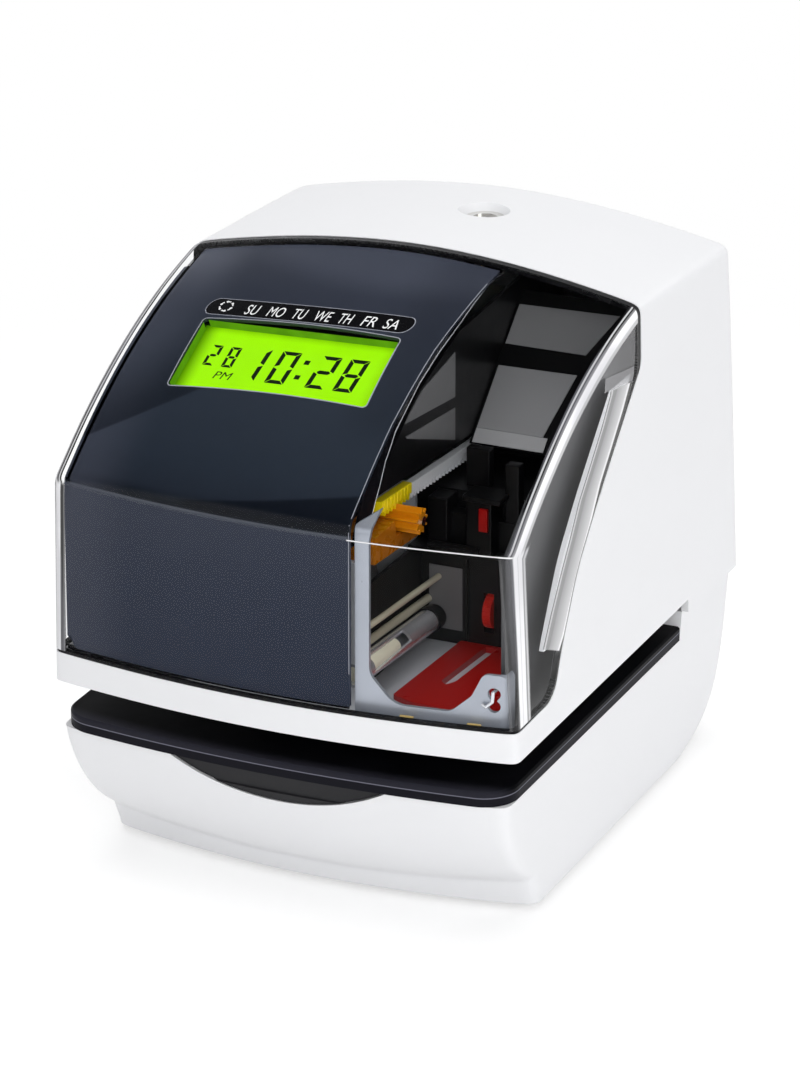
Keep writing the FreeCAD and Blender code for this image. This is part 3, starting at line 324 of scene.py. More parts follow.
def fasciaGloss(name):
    # navy panel with painted light: paler towards its top and its left side, a painted highlight along the
    # crease, painted shade above the crease, in a wedge on the left, below a line near the crease and right
    # of the display
    look = panelLook
    finish = Finish(name, {"Roughness": 0.3, "Specular IOR Level": 0.15})
    x, z = finish.along("X") * 1000, finish.along("Z") * 1000
    # painted light by height: paler up the slope, a painted highlight along the crease and painted shade just
    # above it
    ramp = [((height - look["lowZ"]) / look["span"], rgb) for height, rgb in look["stops"]]
    tone = finish.node("ShaderNodeValToRGB", {"stops": ramp}, {"Fac": (z - look["lowZ"]) / look["span"]})
    # painted light: paler towards the left side and its top
    left = 1 - finish.step(x, *look["leftX"])
    tone = finish.blend(left * 0.5, tone, colour(*look["pale"]))
    tone = finish.blend(left * finish.step(z, *look["topZ"]) * 0.8, tone, colour(*look["topLeft"]))
    # painted shade in a wedge on the left
    wedgeX, wedgeZ, wedgeRise = look["wedge"]
    above = z - wedgeZ - (x - wedgeX) * wedgeRise
    wedge = finish.step(above, -0.4, 0.4) * (1 - finish.step(above, 0, 20))
    wedge = wedge * (1 - finish.step(x, *look["wedgeX"])) * finish.step(z, *look["wedgeZ"])
    # painted shade below a line near the crease
    footX, footZ, footRise = look["foot"]
    below = z - footZ - (x - footX) * footRise
    foot = (1 - finish.step(below, -0.4, 0.4)) * finish.step(z, *look["footZ"])
    foot = foot * finish.step(x, *look["footX"])
    tone = finish.blend(wedge * 0.6 + foot * 0.8, tone, colour(*look["shade"]))
    # painted shade right of the display
    right = finish.step(x, *look["rightX"]) * finish.step(z, *look["rightZ"])
    tone = finish.blend(right * 0.28, tone, colour(*look["shade"]))
    finish.vary(BaseColor=tone, Roughness=0.26 + finish.noise(0.01) * 0.08)
    return finish


def litDisplay(name, place):
    # yellow-green backlight, darker at the upper and left edges by a painted shadow of the window's rim, and
    # a little darker towards the right and lower edges
    finish = Finish(name, {"Base Color": colour(0.02, 0.05, 0.0), "Roughness": 0.25,
                           "Emission Strength": 1.0})
    across, up = place(finish)
    # painted shadow of the window's rim along the left and top edges
    left = finish.step(across, place.left - 0.002, place.left + 0.006)
    right = 1 - finish.step(across, place.right - 0.007, place.right + 0.002) * 0.45
    top = 1 - finish.step(up, place.top - 0.003, place.top + 0.004)
    low = finish.step(up, place.low - 0.001, place.low + 0.003) * 0.35 + 0.65
    glow = left * right * top * low
    patch = finish.noise(0.012, 2.0) * 0.22 + 0.86
    tone = finish.blend(glow, colour(0.010, 0.075, 0.0), colour(0.36, 0.93, 0.002))
    finish.vary(EmissionColor=finish.blend(patch, colour(0.05, 0.28, 0.0), tone))
    return finish


# the display's own plane: u right, v up, n towards the reader

display = {"centre": (-15.6, -48.4, 156.4), "slope": 26.4, "roll": 2.6,
           "windowU": -2.1, "windowV": 3.4, "width": 65.0, "height": 28.0, "glass": -6.6}
tilt = Matrix.Rotation(math.radians(display["slope"]), 4, "X") @ Matrix.Rotation(
    math.radians(-display["roll"]), 4, "Y")
displayPlane = Matrix.Translation(Vector(display["centre"]) * mm) @ tilt


def onDisplay(u, v, n):
    return displayPlane @ (Vector((u, v, n)) * mm)


class displayPlace:
    # where a point of the surface lies across and up the display's window
    left = (display["windowU"] - display["width"] / 2) * mm
    right = (display["windowU"] + display["width"] / 2) * mm
    low = (display["windowV"] - display["height"] / 2) * mm
    top = (display["windowV"] + display["height"] / 2) * mm

    def __call__(self, finish):
        values = []
        for axis in (0, 1):
            way = displayPlane.col[axis].to_3d()
            offset = way.dot(displayPlane.translation)
            dot = finish.node("ShaderNodeVectorMath", {"operation": "DOT_PRODUCT"},
                              {0: finish.place(), 1: tuple(way)}, "Value")
            values.append(dot - offset)
        return values


# geometry

def addPiece(name, mesh, finish, body, slot=None):
    piece = bpy.data.objects.new(name, mesh)
    bpy.context.scene.collection.objects.link(piece)
    piece.data.materials.append(finish.block)
    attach(piece, body)
    return piece


def plateMesh(name, outlines, place, thickness):
    # closed thin plates; place turns a flat point and a height into a point of the scene
    shape = bmesh.new()
    for outline in outlines:
        rings = []
        for level in (0.0, thickness):
            rings.append([shape.verts.new(place(a, b, level)) for a, b in outline])
        shape.faces.new(rings[0][::-1])
        shape.faces.new(rings[1])
        for index in range(len(outline)):
            after = (index + 1) % len(outline)
            shape.faces.new((rings[0][index], rings[0][after], rings[1][after], rings[1][index]))
    bmesh.ops.recalc_face_normals(shape, faces=shape.faces)
    mesh = bpy.data.meshes.new(name)
    shape.to_mesh(mesh)
    shape.free()
    return mesh


def stripMesh(name, low, high, place, thickness, closed=False):
    # closed band between two lines of the same number of points
    shape = bmesh.new()
    rows = []
    for line, level in ((low, 0.0), (high, 0.0), (high, thickness), (low, thickness)):
        rows.append([shape.verts.new(place(a, b, level)) for a, b in line])
    count = len(low)
    for index in range(count if closed else count - 1):
        after = (index + 1) % count
        for row in range(4):
            following = (row + 1) % 4
            shape.faces.new((rows[row][index], rows[row][after],
                             rows[following][after], rows[following][index]))
    if not closed:
        shape.faces.new([row[0] for row in rows])
        shape.faces.new([row[-1] for row in rows][::-1])
    bmesh.ops.recalc_face_normals(shape, faces=shape.faces)
    mesh = bpy.data.meshes.new(name)
    shape.to_mesh(mesh)
    shape.free()
    return mesh


def roundedOutline(left, right, low, top, radius, steps=6, spacing=2.0):
    # rectangle with round corners, its straight sides divided so that they can follow a curve
    points = []
    corners = ((right - radius, top - radius, 0), (left + radius, top - radius, 90),
               (left + radius, low + radius, 180), (right - radius, low + radius, 270))
    for a, b, start in corners:
        for step in range(steps + 1):
            angle = math.radians(start + 90 * step / steps)
            points.append((a + radius * math.cos(angle), b + radius * math.sin(angle)))
    divided = []
    for (a, b), (nextA, nextB) in zip(points, points[1:] + points[:1]):
        count = max(1, round(math.hypot(nextA - a, nextB - b) / spacing))
        for part in range(count):
            divided.append((a + (nextA - a) * part / count, b + (nextB - b) * part / count))
    return divided


def treeOf(node):
    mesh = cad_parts[node].data
    corners = [vertex.co for vertex in mesh.vertices]
    return BVHTree.FromPolygons(corners, [face.vertices for face in mesh.polygons])


fasciaTree = treeOf("fascia_panel")
displayNormal = displayPlane.col[2].to_3d()


def onFascia(u, v, lift):
    # on the front face of the fascia, lifted towards the reader
    start = onDisplay(u, v, 15)
    hit = fasciaTree.ray_cast(start, -displayNormal)[0]
    return (hit or onDisplay(u, v, -3)) + displayNormal * lift * mm


# finishes for the nodes of the frame

white = mouldedPlastic("caseWhite", (0.84, 0.845, 0.86), 0.42, variation=0.008)
black = mouldedPlastic("liningBlack", (0.005, 0.005, 0.0055), 0.34, gloss=0.3)
tableBlack = tableFinish("tableBlack")
recessBlack = mouldedPlastic("recessBlack", (0.016, 0.016, 0.018), 0.5, gloss=0.2)
rackGrey = mouldedPlastic("rackGrey", (0.93, 0.95, 1.0), 0.3, coat=0.3)
buttonGrey = mouldedPlastic("buttonGrey", (0.30, 0.31, 0.33), 0.5)
yellow = mouldedPlastic("tipYellow", (1.0, 0.78, 0.006), 0.3, coat=0.2)
orange = mouldedPlastic("pinionOrange", (0.72, 0.25, 0.004), 0.3, coat=0.3)
amber = mouldedPlastic("amberPlastic", (0.42, 0.13, 0.004), 0.28, coat=0.4)
red = mouldedPlastic("maskRed", (0.42, 0.004, 0.003), 0.3, coat=0.1)
wheelRed = mouldedPlastic("wheelRed", (0.85, 0.03, 0.02), 0.35)
clipGold = mouldedPlastic("clipGold", (0.62, 0.45, 0.16), 0.35)
cream = mouldedPlastic("coreCream", (1.0, 0.94, 0.74), 0.35, variation=0.03)
sealBlack = mouldedPlastic("sealBlack", (0.004, 0.004, 0.005), 0.3, gloss=0.15)
rubber = mouldedPlastic("rubberBlack", (0.010, 0.010, 0.010), 0.75, grain=0.0005)
boardGreen = mouldedPlastic("boardGreen", (0.012, 0.10, 0.035), 0.4)
lightGuide = mouldedPlastic("lightGuide", (0.45, 0.70, 0.12), 0.35)
cellBlue = mouldedPlastic("cellBlue", (0.02, 0.06, 0.16), 0.35)
steel = metalSheet("zincSteel", (0.52, 0.53, 0.55), 0.38)
bright = metalSheet("polishedRod", (0.78, 0.77, 0.74), 0.14, (40, 1, 40))
bracketSilver = metalSheet("bracketSilver", (0.46, 0.49, 0.55), 0.34, metallic=0.6)
baySilver = metalSheet("baySilver", (0.86, 0.88, 0.92), 0.24, (40, 1, 40), 0.7)
bayGold = metalSheet("bayGold", (1.0, 0.90, 0.68), 0.2, (40, 1, 40), 0.3)
plateGrey = metalSheet("plateGrey", (0.70, 0.72, 0.76), 0.4, metallic=0.2)
darkSteel = paintedSteel("darkSteel", (0.045, 0.046, 0.049))
clear = clearPlastic("clearHood")
fascia = fasciaGloss("fasciaGloss")
lit = litDisplay("litDisplay", displayPlace())

nodeFinish = {
    white: ["upper_housing", "base_housing"],
    clear: ["clear_cover"],
    fascia: ["fascia_panel"],
    lit: ["lcd_glass"],
    lightGuide: ["lcd_backlight"],
    rubber: ["rubber_feet", "platen_pad"],
    sealBlack: ["cover_gasket"],
    clipGold: ["cover_clips"],
    tableBlack: ["paper_table"],
    recessBlack: ["thumb_recess", "base_plate"],
    black: ["paper_stop", "paper_sensor", "carriage_block", "print_head", "tube_collar", "bay_back",
            "ribbon_cassette", "mechanism_block", "bay_hood", "bay_side", "lcd_frame", "dc_inlet"],
    cream: ["tube_core"],
    darkSteel: ["frame_cheeks", "drive_brackets", "rack_arm"],
    steel: ["lock_cam", "latch_plate", "base_screws", "platen_anvil", "frame_back",
            "drive_motor", "display_bracket", "power_module"],
    plateGrey: ["head_plate"],
    bright: ["lock_cylinder", "lock_plug", "guide_rods", "pinion_shaft"],
    baySilver: ["ribbon_tube", "tension_hook"],
    bayGold: ["tie_rods"],
    bracketSilver: ["front_bracket"],
    rackGrey: ["rack_bar"],
    yellow: ["rack_tip"],
    orange: ["drive_pinion"],
    amber: ["amber_guide"],
    red: ["ribbon_mask", "ribbon_flag"],
    wheelRed: ["ribbon_wheel"],
    buttonGrey: ["set_button_1", "set_button_2", "set_button_3", "set_button_4"],
    boardGreen: ["display_board", "main_board"],
    cellBlue: ["backup_battery"],
}
for finish, names in nodeFinish.items():
    for name in names:
        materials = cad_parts[name].data.materials
        materials.clear()
        materials.append(finish.block)
print("finishes set on", sum(len(names) for names in nodeFinish.values()), "nodes")


# display: digits and their small words

digitParts = {"0": "abcdef", "1": "bc", "2": "abged", "8": "abcdefg"}


def digitOutlines(digit, left, low, width, height, stroke, slant):
    # seven slanted strokes with mitred ends
    gap = digitLook["gap"]
    half, middle, far = height / 2, stroke / 2, width - stroke
    shapes = {
        "a": [(gap, height), (width - gap, height),
              (far - gap, height - stroke), (stroke + gap, height - stroke)],
        "d": [(stroke + gap, stroke), (far - gap, stroke), (width - gap, 0), (gap, 0)],
        "g": [(gap + middle, half), (stroke + gap, half + middle), (far - gap, half + middle),
              (width - gap - middle, half), (far - gap, half - middle), (stroke + gap, half - middle)],
        "f": [(0, height - gap), (stroke, height - stroke - gap),
              (stroke, half + middle + gap), (0, half + gap)],
        "e": [(0, half - gap), (stroke, half - middle - gap), (stroke, stroke + gap), (0, gap)],
        "b": [(width, height - gap), (width, half + gap),
              (far, half + middle + gap), (far, height - stroke - gap)],
        "c": [(width, half - gap), (width, gap), (far, stroke + gap), (far, half - middle - gap)],
    }
    outlines = []
    for part in digitParts[digit]:
        outlines.append([(left + a + slant * b, low + b) for a, b in shapes[part]])
    return outlines


digitLook = {
    "large": {"width": 6.2, "height": 13.3, "stroke": 1.4, "slant": 0.075, "low": -2.2},
    "small": {"width": 3.5, "height": 8.4, "stroke": 0.95, "slant": 0.03, "low": 1.9},
    "largeAt": {"1": -17.0, "0": -7.3, "2": 5.9, "8": 15.0},
    "smallAt": {"2": -29.6, "8": -23.4},
    "colon": [(2.76, 7.6), (2.1, 1.4)], "dot": 0.85, "dotLean": 0.1, "gap": 0.16,
}
ink = mouldedPlastic("digitInk", (0.004, 0.010, 0.003), 0.5)


def digitPlace(u, v, lift):
    return onDisplay(u, v, display["glass"] + 0.04 + lift)


def displayDigits():
    outlines = []
    for size, places in (("large", "largeAt"), ("small", "smallAt")):
        look = digitLook[size]
        for digit, left in digitLook[places].items():
            outlines += digitOutlines(digit, left, look["low"], look["width"], look["height"],
                                      look["stroke"], look["slant"])
    half, lean = digitLook["dot"], digitLook["dotLean"]
    for u, v in digitLook["colon"]:
        outlines.append([(u - half, v - half), (u + half, v - half),
                         (u + half + lean, v + half), (u - half + lean, v + half)])
    mesh = plateMesh("display_digits", outlines, digitPlace, 0.05)
    addPiece("display_digits", mesh, ink, "chassis", "black")


def wordMesh(name, word, centre, low, width, height, place, shear=0.18):
    # words as thin plates, fitted to a width and a height
    curve = bpy.data.curves.new(name, "FONT")
    curve.body = word
    curve.size = 1.0
    curve.shear = shear
    curve.resolution_u = 4
    text = bpy.data.objects.new(name, curve)
    bpy.context.scene.collection.objects.link(text)
    bpy.context.view_layer.update()
    flat = bpy.data.meshes.new_from_object(text)
    bpy.data.objects.remove(text)
    xs = [vertex.co.x for vertex in flat.vertices]
    ys = [vertex.co.y for vertex in flat.vertices]
    for vertex in flat.vertices:
        a = centre + ((vertex.co.x - min(xs)) / (max(xs) - min(xs)) - 0.5) * width
        b = low + (vertex.co.y - min(ys)) / (max(ys) - min(ys)) * height
        vertex.co = place(a, b, 0.05)
    flat.name = name
    return flat


# painted light of the display on the inner walls of its window, as strips that glow

wallGlow = {"inset": 0.12, "near": -6.4, "far": -3.6, "thickness": 0.06, "strength": 1.0, "steps": 20,
            "corner": 1.2, "short": 0.4, "dark": (0.02, 0.10, 0.0), "green": (0.11, 0.36, 0.005)}


def glowFinish():
    finish = Finish("wallGlow", {"Base Color": colour(0.02, 0.05, 0.0), "Roughness": 0.4,
                                 "Emission Strength": wallGlow["strength"]})
    tone = finish.blend(finish.noise(0.008), colour(*wallGlow["dark"]), colour(*wallGlow["green"]))
    finish.vary(EmissionColor=tone)
    return finish


def wallLine(wall, end):
    # points along the top or the left wall of the window, at the glass or just behind the panel's face
    u, v = display["windowU"], display["windowV"]
    halfU, halfV = display["width"] / 2 - wallGlow["inset"], display["height"] / 2 - wallGlow["inset"]
    points = []
    for step in range(wallGlow["steps"] + 1):
        part = step / wallGlow["steps"] * 2 - 1
        if wall == "top":
            a, b = u + part * (halfU - wallGlow["corner"]), v + halfV
        else:
            a, b = u - halfU, v + part * (halfV - wallGlow["corner"])
        face = (displayPlane.inverted() @ onFascia(a, b, 0)).z / mm
        height = wallGlow["near"] if end == "near" else min(wallGlow["far"], face - wallGlow["short"])
        points.append(((a, b), height))
    return points


def wallPlace(wall):
    def place(point, height, level):
        a, b = point
        return onDisplay(a, b - level, height) if wall == "top" else onDisplay(a + level, b, height)
    return place


glow = glowFinish()
for wall in ("top", "left"):
    mesh = stripMesh("window_glow_" + wall, wallLine(wall, "near"), wallLine(wall, "far"), wallPlace(wall),
                     wallGlow["thickness"])
    addPiece("window_glow_" + wall, mesh, glow, "upper_case", "fascia")
displayDigits()
halfDay = {"centre": -21.1, "low": -3.0, "width": 5.9, "height": 2.95, "shear": 0.2}
halfDayMesh = wordMesh("display_half_day", "PM", halfDay["centre"], halfDay["low"], halfDay["width"],
                       halfDay["height"], digitPlace, halfDay["shear"])
addPiece("display_half_day", halfDayMesh, ink, "chassis", "black")
print("display drawn")


# label strip above the display, with the days of the week

strip = {"left": -36.2, "right": 31.6, "low": 18.5, "high": 25.6, "bow": 0.0013, "bowCentre": -3,
         "line": 0.28, "endReach": 0.75, "endLean": 0.6, "endDrop": 0.98,
         "words": {"SU": -20.2, "MO": -12.0, "TU": -4.1, "WE": 3.8, "TH": 11.0, "FR": 18.4, "SA": 25.3},
         "wordWidth": {"SU": 4.6, "MO": 5.6, "TU": 4.3, "WE": 5.3, "TH": 4.2, "FR": 4.4, "SA": 4.4},
         "wordLow": 19.45, "wordHeight": 4.4, "ring": (-29.9, 22.3, 2.15)}
stripBlack = mouldedPlastic("stripBlack", (0.003, 0.003, 0.004), 0.25)
markWhite = mouldedPlastic("markWhite", (0.82, 0.82, 0.82), 0.5, variation=0.02)
outlineGrey = mouldedPlastic("outlineGrey", (0.30, 0.31, 0.35), 0.25, variation=0.03)


def bowed(u, v, lift):
    return onFascia(u, v + strip["bow"] * (u - strip["bowCentre"]) ** 2, lift)


def stripLine(grow, steps=40):
    # lower and upper edge of the label strip, its ends slanted and rounded
    left, right = strip["left"] - grow, strip["right"] + grow
    low, high = strip["low"] - grow, strip["high"] + grow
    radius = (high - low) / 2
    below, above = [], []
    for step in range(steps + 1):
        u = left + (right - left) * (0.5 - 0.5 * math.cos(math.pi * step / steps))
        reach = min(u - left, right - u, radius * strip["endReach"])
        drop = radius - math.sqrt(max(0.0, radius ** 2 - (radius - reach / strip["endReach"]) ** 2))
        lean = strip["endLean"] * (1 - drop / radius)
        below.append((u - lean, low + drop * strip["endDrop"]))
        above.append((u + lean, high - drop * strip["endDrop"]))
    return below, above


for name, grow, finish, slot, lift in (("label_outline", strip["line"], outlineGrey, "fascia", 0.02),
                                       ("label_strip", 0.0, stripBlack, "black", 0.05)):
    below, above = stripLine(grow)
    mesh = stripMesh(name, below, above, lambda a, b, level, lift=lift: bowed(a, b, lift + level), 0.02)
    addPiece(name, mesh, finish, "upper_case", slot)
for word, centre in strip["words"].items():
    mesh = wordMesh("day_" + word.lower(), word, centre, strip["wordLow"], strip["wordWidth"][word],
                    strip["wordHeight"], lambda a, b, level: bowed(a, b, 0.09))
    addPiece("day_" + word.lower(), mesh, markWhite, "upper_case", "housing")


ringLook = {"arcs": 6, "start": 8, "turn": 11, "half": 0.24, "barb": 0.22}


def ringOutline():
    # broken ring of six short arrows
    u0, v0, radius = strip["ring"]
    outlines = []
    for arc in range(ringLook["arcs"]):
        inner, outer = [], []
        for step in range(5):
            angle = math.radians(360 // ringLook["arcs"] * arc + ringLook["start"] + ringLook["turn"] * step)
            wide = ringLook["half"] if step < 3 else ringLook["half"] + ringLook["barb"] * (4 - step)
            inner.append((u0 + (radius - wide) * math.cos(angle), v0 + (radius - wide) * math.sin(angle)))
            outer.append((u0 + (radius + wide) * math.cos(angle), v0 + (radius + wide) * math.sin(angle)))
        outlines.append(inner + outer[::-1])
    return outlines


ringMesh = plateMesh("label_ring", ringOutline(), lambda a, b, level: bowed(a, b, 0.08 + level), 0.01)
addPiece("label_ring", ringMesh, markWhite, "upper_case", "housing")


rimLook = {"grow": (0.06, 0.42), "radius": 1.2, "lift": 0.03, "thickness": 0.04}


def windowRim():
    # fine light line round the display's window
    halfU, halfV = display["width"] / 2, display["height"] / 2
    u, v = display["windowU"], display["windowV"]
    rings = []
    for grow in rimLook["grow"]:
        left, right = u - halfU - grow, u + halfU + grow
        low, top = v - halfV - grow, v + halfV + grow
        rings.append(roundedOutline(left, right, low, top, rimLook["radius"] + grow))
    return stripMesh("window_rim", *rings, lambda a, b, level: onFascia(a, b, rimLook["lift"] + level),
                     rimLook["thickness"], True)


addPiece("window_rim", windowRim(), outlineGrey, "upper_case", "fascia")
print("label drawn")


# return of the fascia's right edge, with painted highlight lines along its edges

returnEdge = {"edge": [(70.0, 24.3), (125.0, 24.3), (148.0, 25.0), (162.0, 26.4), (175.0, 29.6),
                       (200.0, 31.0)],
              "inner": [(11.0, 172.1), (0.5, 172.0), (-8.7, 168.8), (-17.4, 164.8), (-29.8, 160.2),
                        (-42.8, 154.7), (-51.5, 148.8), (-58.1, 144.9), (-60.6, 141.9), (-64.6, 137.9),
                        (-68.2, 131.5), (-70.9, 127.8), (-73.6, 123.6), (-76.5, 119.5)],
              "line": 0.5, "thickness": 0.3, "rimInset": 0.06, "rimWidth": 0.26, "rimSteps": 70,
              "rimFirst": 192, "rimSweep": 101, "rimStartX": 24.0, "rimStride": 0.05}


def edgeX(z):
    for (low, x), (high, nextX) in zip(returnEdge["edge"], returnEdge["edge"][1:]):
        if z <= high:
            return x + (nextX - x) * (z - low) / (high - low)
    return nextX


def returnPlace(y, z, level):
    return Vector((edgeX(z) - 0.02 - level, y, z)) * mm


def fasciaReturn():
    # dark band between the panel and the line inside it, and the painted highlight line along that
    band, line = [], []
    for y, z in returnEdge["inner"]:
        start = Vector((edgeX(z) - 0.2, y, z)) * mm
        near = fasciaTree.find_nearest(start)[0]
        way = (near - start).normalized()
        end, along = (near - way * 0.03 * mm) / mm, (start + way * returnEdge["line"] * mm) / mm
        band.append((end.y, end.z))
        line.append((along.y, along.z))
    thickness = returnEdge["thickness"]
    mesh = stripMesh("fascia_return", line, band, returnPlace, thickness)
    addPiece("fascia_return", mesh, glossBlack, "upper_case", "fascia")
    mesh = stripMesh("return_highlight", returnEdge["inner"], line, returnPlace, thickness)
    addPiece("return_highlight", mesh, edgeHighlight, "upper_case", "fascia")


def fasciaHit(x, angle):
    out = Vector((0, math.cos(angle), math.sin(angle)))
    hit = fasciaTree.ray_cast(Vector((x, 0, 100)) * mm + out * 0.3, -out)[0]
    return hit and hit + out * 0.03 * mm


def fasciaRim():
    # painted highlight line along the outer face, close to its right edge
    rows = [], []
    for step in range(returnEdge["rimSteps"] + 1):
        angle = math.radians(returnEdge["rimFirst"] - returnEdge["rimSweep"] * step / returnEdge["rimSteps"])
        x = returnEdge["rimStartX"]
        while fasciaHit(x + returnEdge["rimStride"], angle):
            x += returnEdge["rimStride"]
        for row, inset in zip(rows, (returnEdge["rimWidth"], 0.0)):
            row.append((step, fasciaHit(x - returnEdge["rimInset"] - inset, angle)))
    return stripMesh("fascia_rim", *rows, lambda step, point, level: point + Vector((0, 0, level * mm)), 0.03)


glossBlack = mouldedPlastic("glossBlack", (0.006, 0.006, 0.008), 0.16, variation=0.02)
edgeHighlight = mouldedPlastic("edgeHighlight", (0.85, 0.86, 0.90), 0.2, variation=0.03)
fasciaReturn()
# grey painted highlight line along the panel's right edge
addPiece("fascia_rim", fasciaRim(), outlineGrey, "upper_case", "fascia")
print("fascia return added")


# what closes the panel at the left and below

panelEnd = {"first": 198.9, "sweep": 106.7, "steps": 60, "startX": -68.0, "stride": 0.05, "back": 3,
            "wallX": -70.9, "sunk": 0.08, "thickness": 0.5}


def fasciaEnd():
    # carries the panel on to the cover's left wall
    low, high, outward = [], [], []
    for step in range(panelEnd["steps"] + 1):
        angle = math.radians(panelEnd["first"] - panelEnd["sweep"] * step / panelEnd["steps"])
        x = panelEnd["startX"]
        while fasciaHit(x - panelEnd["stride"], angle):
            x -= panelEnd["stride"]
        edge, inner = fasciaHit(x, angle), fasciaHit(x + panelEnd["back"], angle)
        out = Vector((0, math.cos(angle), math.sin(angle))) * panelEnd["sunk"] * mm
        end = edge + (edge - inner) * (x - panelEnd["wallX"]) / panelEnd["back"]
        low.append((step, edge - out))
        high.append((step, end - out * 2))
        outward.append(out / panelEnd["sunk"])
    return stripMesh("fascia_end", low, high, lambda step, point, level: point - outward[step] * level,
                     panelEnd["thickness"])


panelFoot = {"left": -71.0, "length": 95.0, "steps": 48, "panelX": (-66.0, 23.5), "panelZ": 72, "curl": 0.05,
             "low": 70.05, "high": 71.4, "behind": 0.15, "thickness": 0.5}


def fasciaFoot():
    # dark strip that closes the gap between the panel and the seal below it
    left, right = panelFoot["panelX"]
    low, high = [], []
    for step in range(panelFoot["steps"] + 1):
        x = panelFoot["left"] + panelFoot["length"] * step / panelFoot["steps"]
        start = Vector((max(left, min(right, x)), -200, panelFoot["panelZ"])) * mm
        near = fasciaTree.ray_cast(start, Vector((0, 1, 0)))[0].y / mm
        fall = (x - left) ** 2 * panelFoot["curl"] if x < left else 0.0
        low.append((x, (near + fall, panelFoot["low"])))
        high.append((x, (near + fall, panelFoot["high"])))

    def footPlace(x, point, level):
        return Vector((x, point[0] + panelFoot["behind"] + level, point[1])) * mm

    return stripMesh("fascia_foot", low, high, footPlace, panelFoot["thickness"])


addPiece("fascia_end", fasciaEnd(), fascia, "upper_case", "fascia")
addPiece("fascia_foot", fasciaFoot(), glossBlack, "upper_case", "fascia")


# face of the half-moon recess, close behind the skin of the base

recess = {"centreX": 0.7, "centreZ": 105.4, "radius": 69.0, "topZ": 45.4, "inset": 0.5, "thickness": 1.2,
          "steps": 48, "besideX": (-52, -44, 46, 54), "besideDrop": 0.6, "margin": 0.8}


def recessFace():
    base = treeOf("base_housing")

    def skinY(x, z):
        return base.ray_cast(Vector((x, -200, z)) * mm, Vector((0, 1, 0)))[0].y / mm

    # the bow of the skin, from four points beside the recess
    outside = [(x, skinY(x, recess["topZ"] - recess["besideDrop"])) for x in recess["besideX"]]
    ends = [((x - recess["centreX"]) ** 2, y) for x, y in outside]
    bow = (ends[1][1] - ends[0][1] + ends[2][1] - ends[3][1]) / (
        ends[1][0] - ends[0][0] + ends[2][0] - ends[3][0])
    middle = sum(y - bow * square for square, y in ends) / 4
    half = math.sqrt(recess["radius"] ** 2 - (recess["centreZ"] - recess["topZ"]) ** 2)
    low, high = [], []
    for step in range(recess["steps"] + 1):
        a = -half * math.cos(math.pi * step / recess["steps"])
        x = recess["centreX"] + a
        z = recess["centreZ"] - math.sqrt(recess["radius"] ** 2 - a ** 2)
        grow = (recess["radius"] + recess["margin"]) / recess["radius"]
        edgeY = skinY(recess["centreX"] + a * grow, recess["centreZ"] - (recess["centreZ"] - z) * grow)
        low.append((x, (edgeY, z)))
        high.append((x, (middle + bow * a ** 2, recess["topZ"])))
    return stripMesh("recess_face", low, high, lambda x, point, level: Vector(
        (x, point[0] + recess["inset"] + level, point[1])) * mm, recess["thickness"])


addPiece("recess_face", recessFace(), recessBlack, "chassis", "black")
print("panel end, foot and recess face added")


# grey panes of the bay, partly real grey panes and partly painted reflection on its black walls

# one grey in lit and shaded copies, each set by how much light that pane gets
paneShades = {"upper": 0.25, "lower": 0.28, "strip": 0.4, "side": 0.15, "panel": 0.17}
paneFinish = {name: mouldedPlastic("pane" + name.title(), (level, level, level * 1.02), 0.35, variation=0.06)
              for name, level in paneShades.items()}
hood = {"low": (1.5, 125.0), "high": (38.0, 157.4),
        "panes": {"lower": [(24.3, 0.4), (45.7, 0.4), (49.7, 22.6), (24.3, 22.1)],
                  "upper": [(24.0, 29.8), (50.2, 29.7), (56.7, 44.4), (24.2, 43.6)],
                  "strip": [(24.3, -4.6), (47.3, -4.6), (47.3, 0.3), (24.3, 0.3)]}}


def onHood(x, along, lift):
    low, high = Vector((0, *hood["low"])), Vector((0, *hood["high"]))
    way = (high - low).normalized()
    out = Vector((0, -way.z, way.y))
    return (Vector((x, 0, 0)) + low + way * along + out * (lift + 0.03)) * mm


for name, outline in hood["panes"].items():
    addPiece("hood_pane_" + name, plateMesh("hood_pane_" + name, [outline], onHood, 0.3), paneFinish[name],
             "chassis", "black")
sidePanes = {"face": 23.5,
             "outlines": [[(-13.3, 154.2), (-36.0, 150.6), (-46.0, 146.0), (-49.0, 144.0), (-13.3, 140.2)],
                          [(-13.3, 136.8), (-48.5, 139.8), (-47.5, 138.9), (-13.3, 126.6)]]}
sideMesh = plateMesh("side_panes", sidePanes["outlines"],
                     lambda y, z, level: Vector((sidePanes["face"] + 0.03 + level, y, z)) * mm, 0.3)
addPiece("side_panes", sideMesh, paneFinish["side"], "chassis", "black")
bayPanel = {"face": -16.6, "outline": [(16.9, 66.8), (27.8, 66.8), (27.8, 87.0), (16.9, 87.0)]}
bayMesh = plateMesh("bay_panel", [bayPanel["outline"]],
                    lambda x, z, level: Vector((x, bayPanel["face"] - 0.03 - level, z)) * mm, 0.25)
addPiece("bay_panel", bayMesh, paneFinish["panel"], "chassis", "black")
print("bay panes added")


# stage

floorLook = {"size": 30.0, "white": (0.93, 0.93, 0.93), "fade": (0.2, 0.5), "least": 0.45, "glow": 0.22}


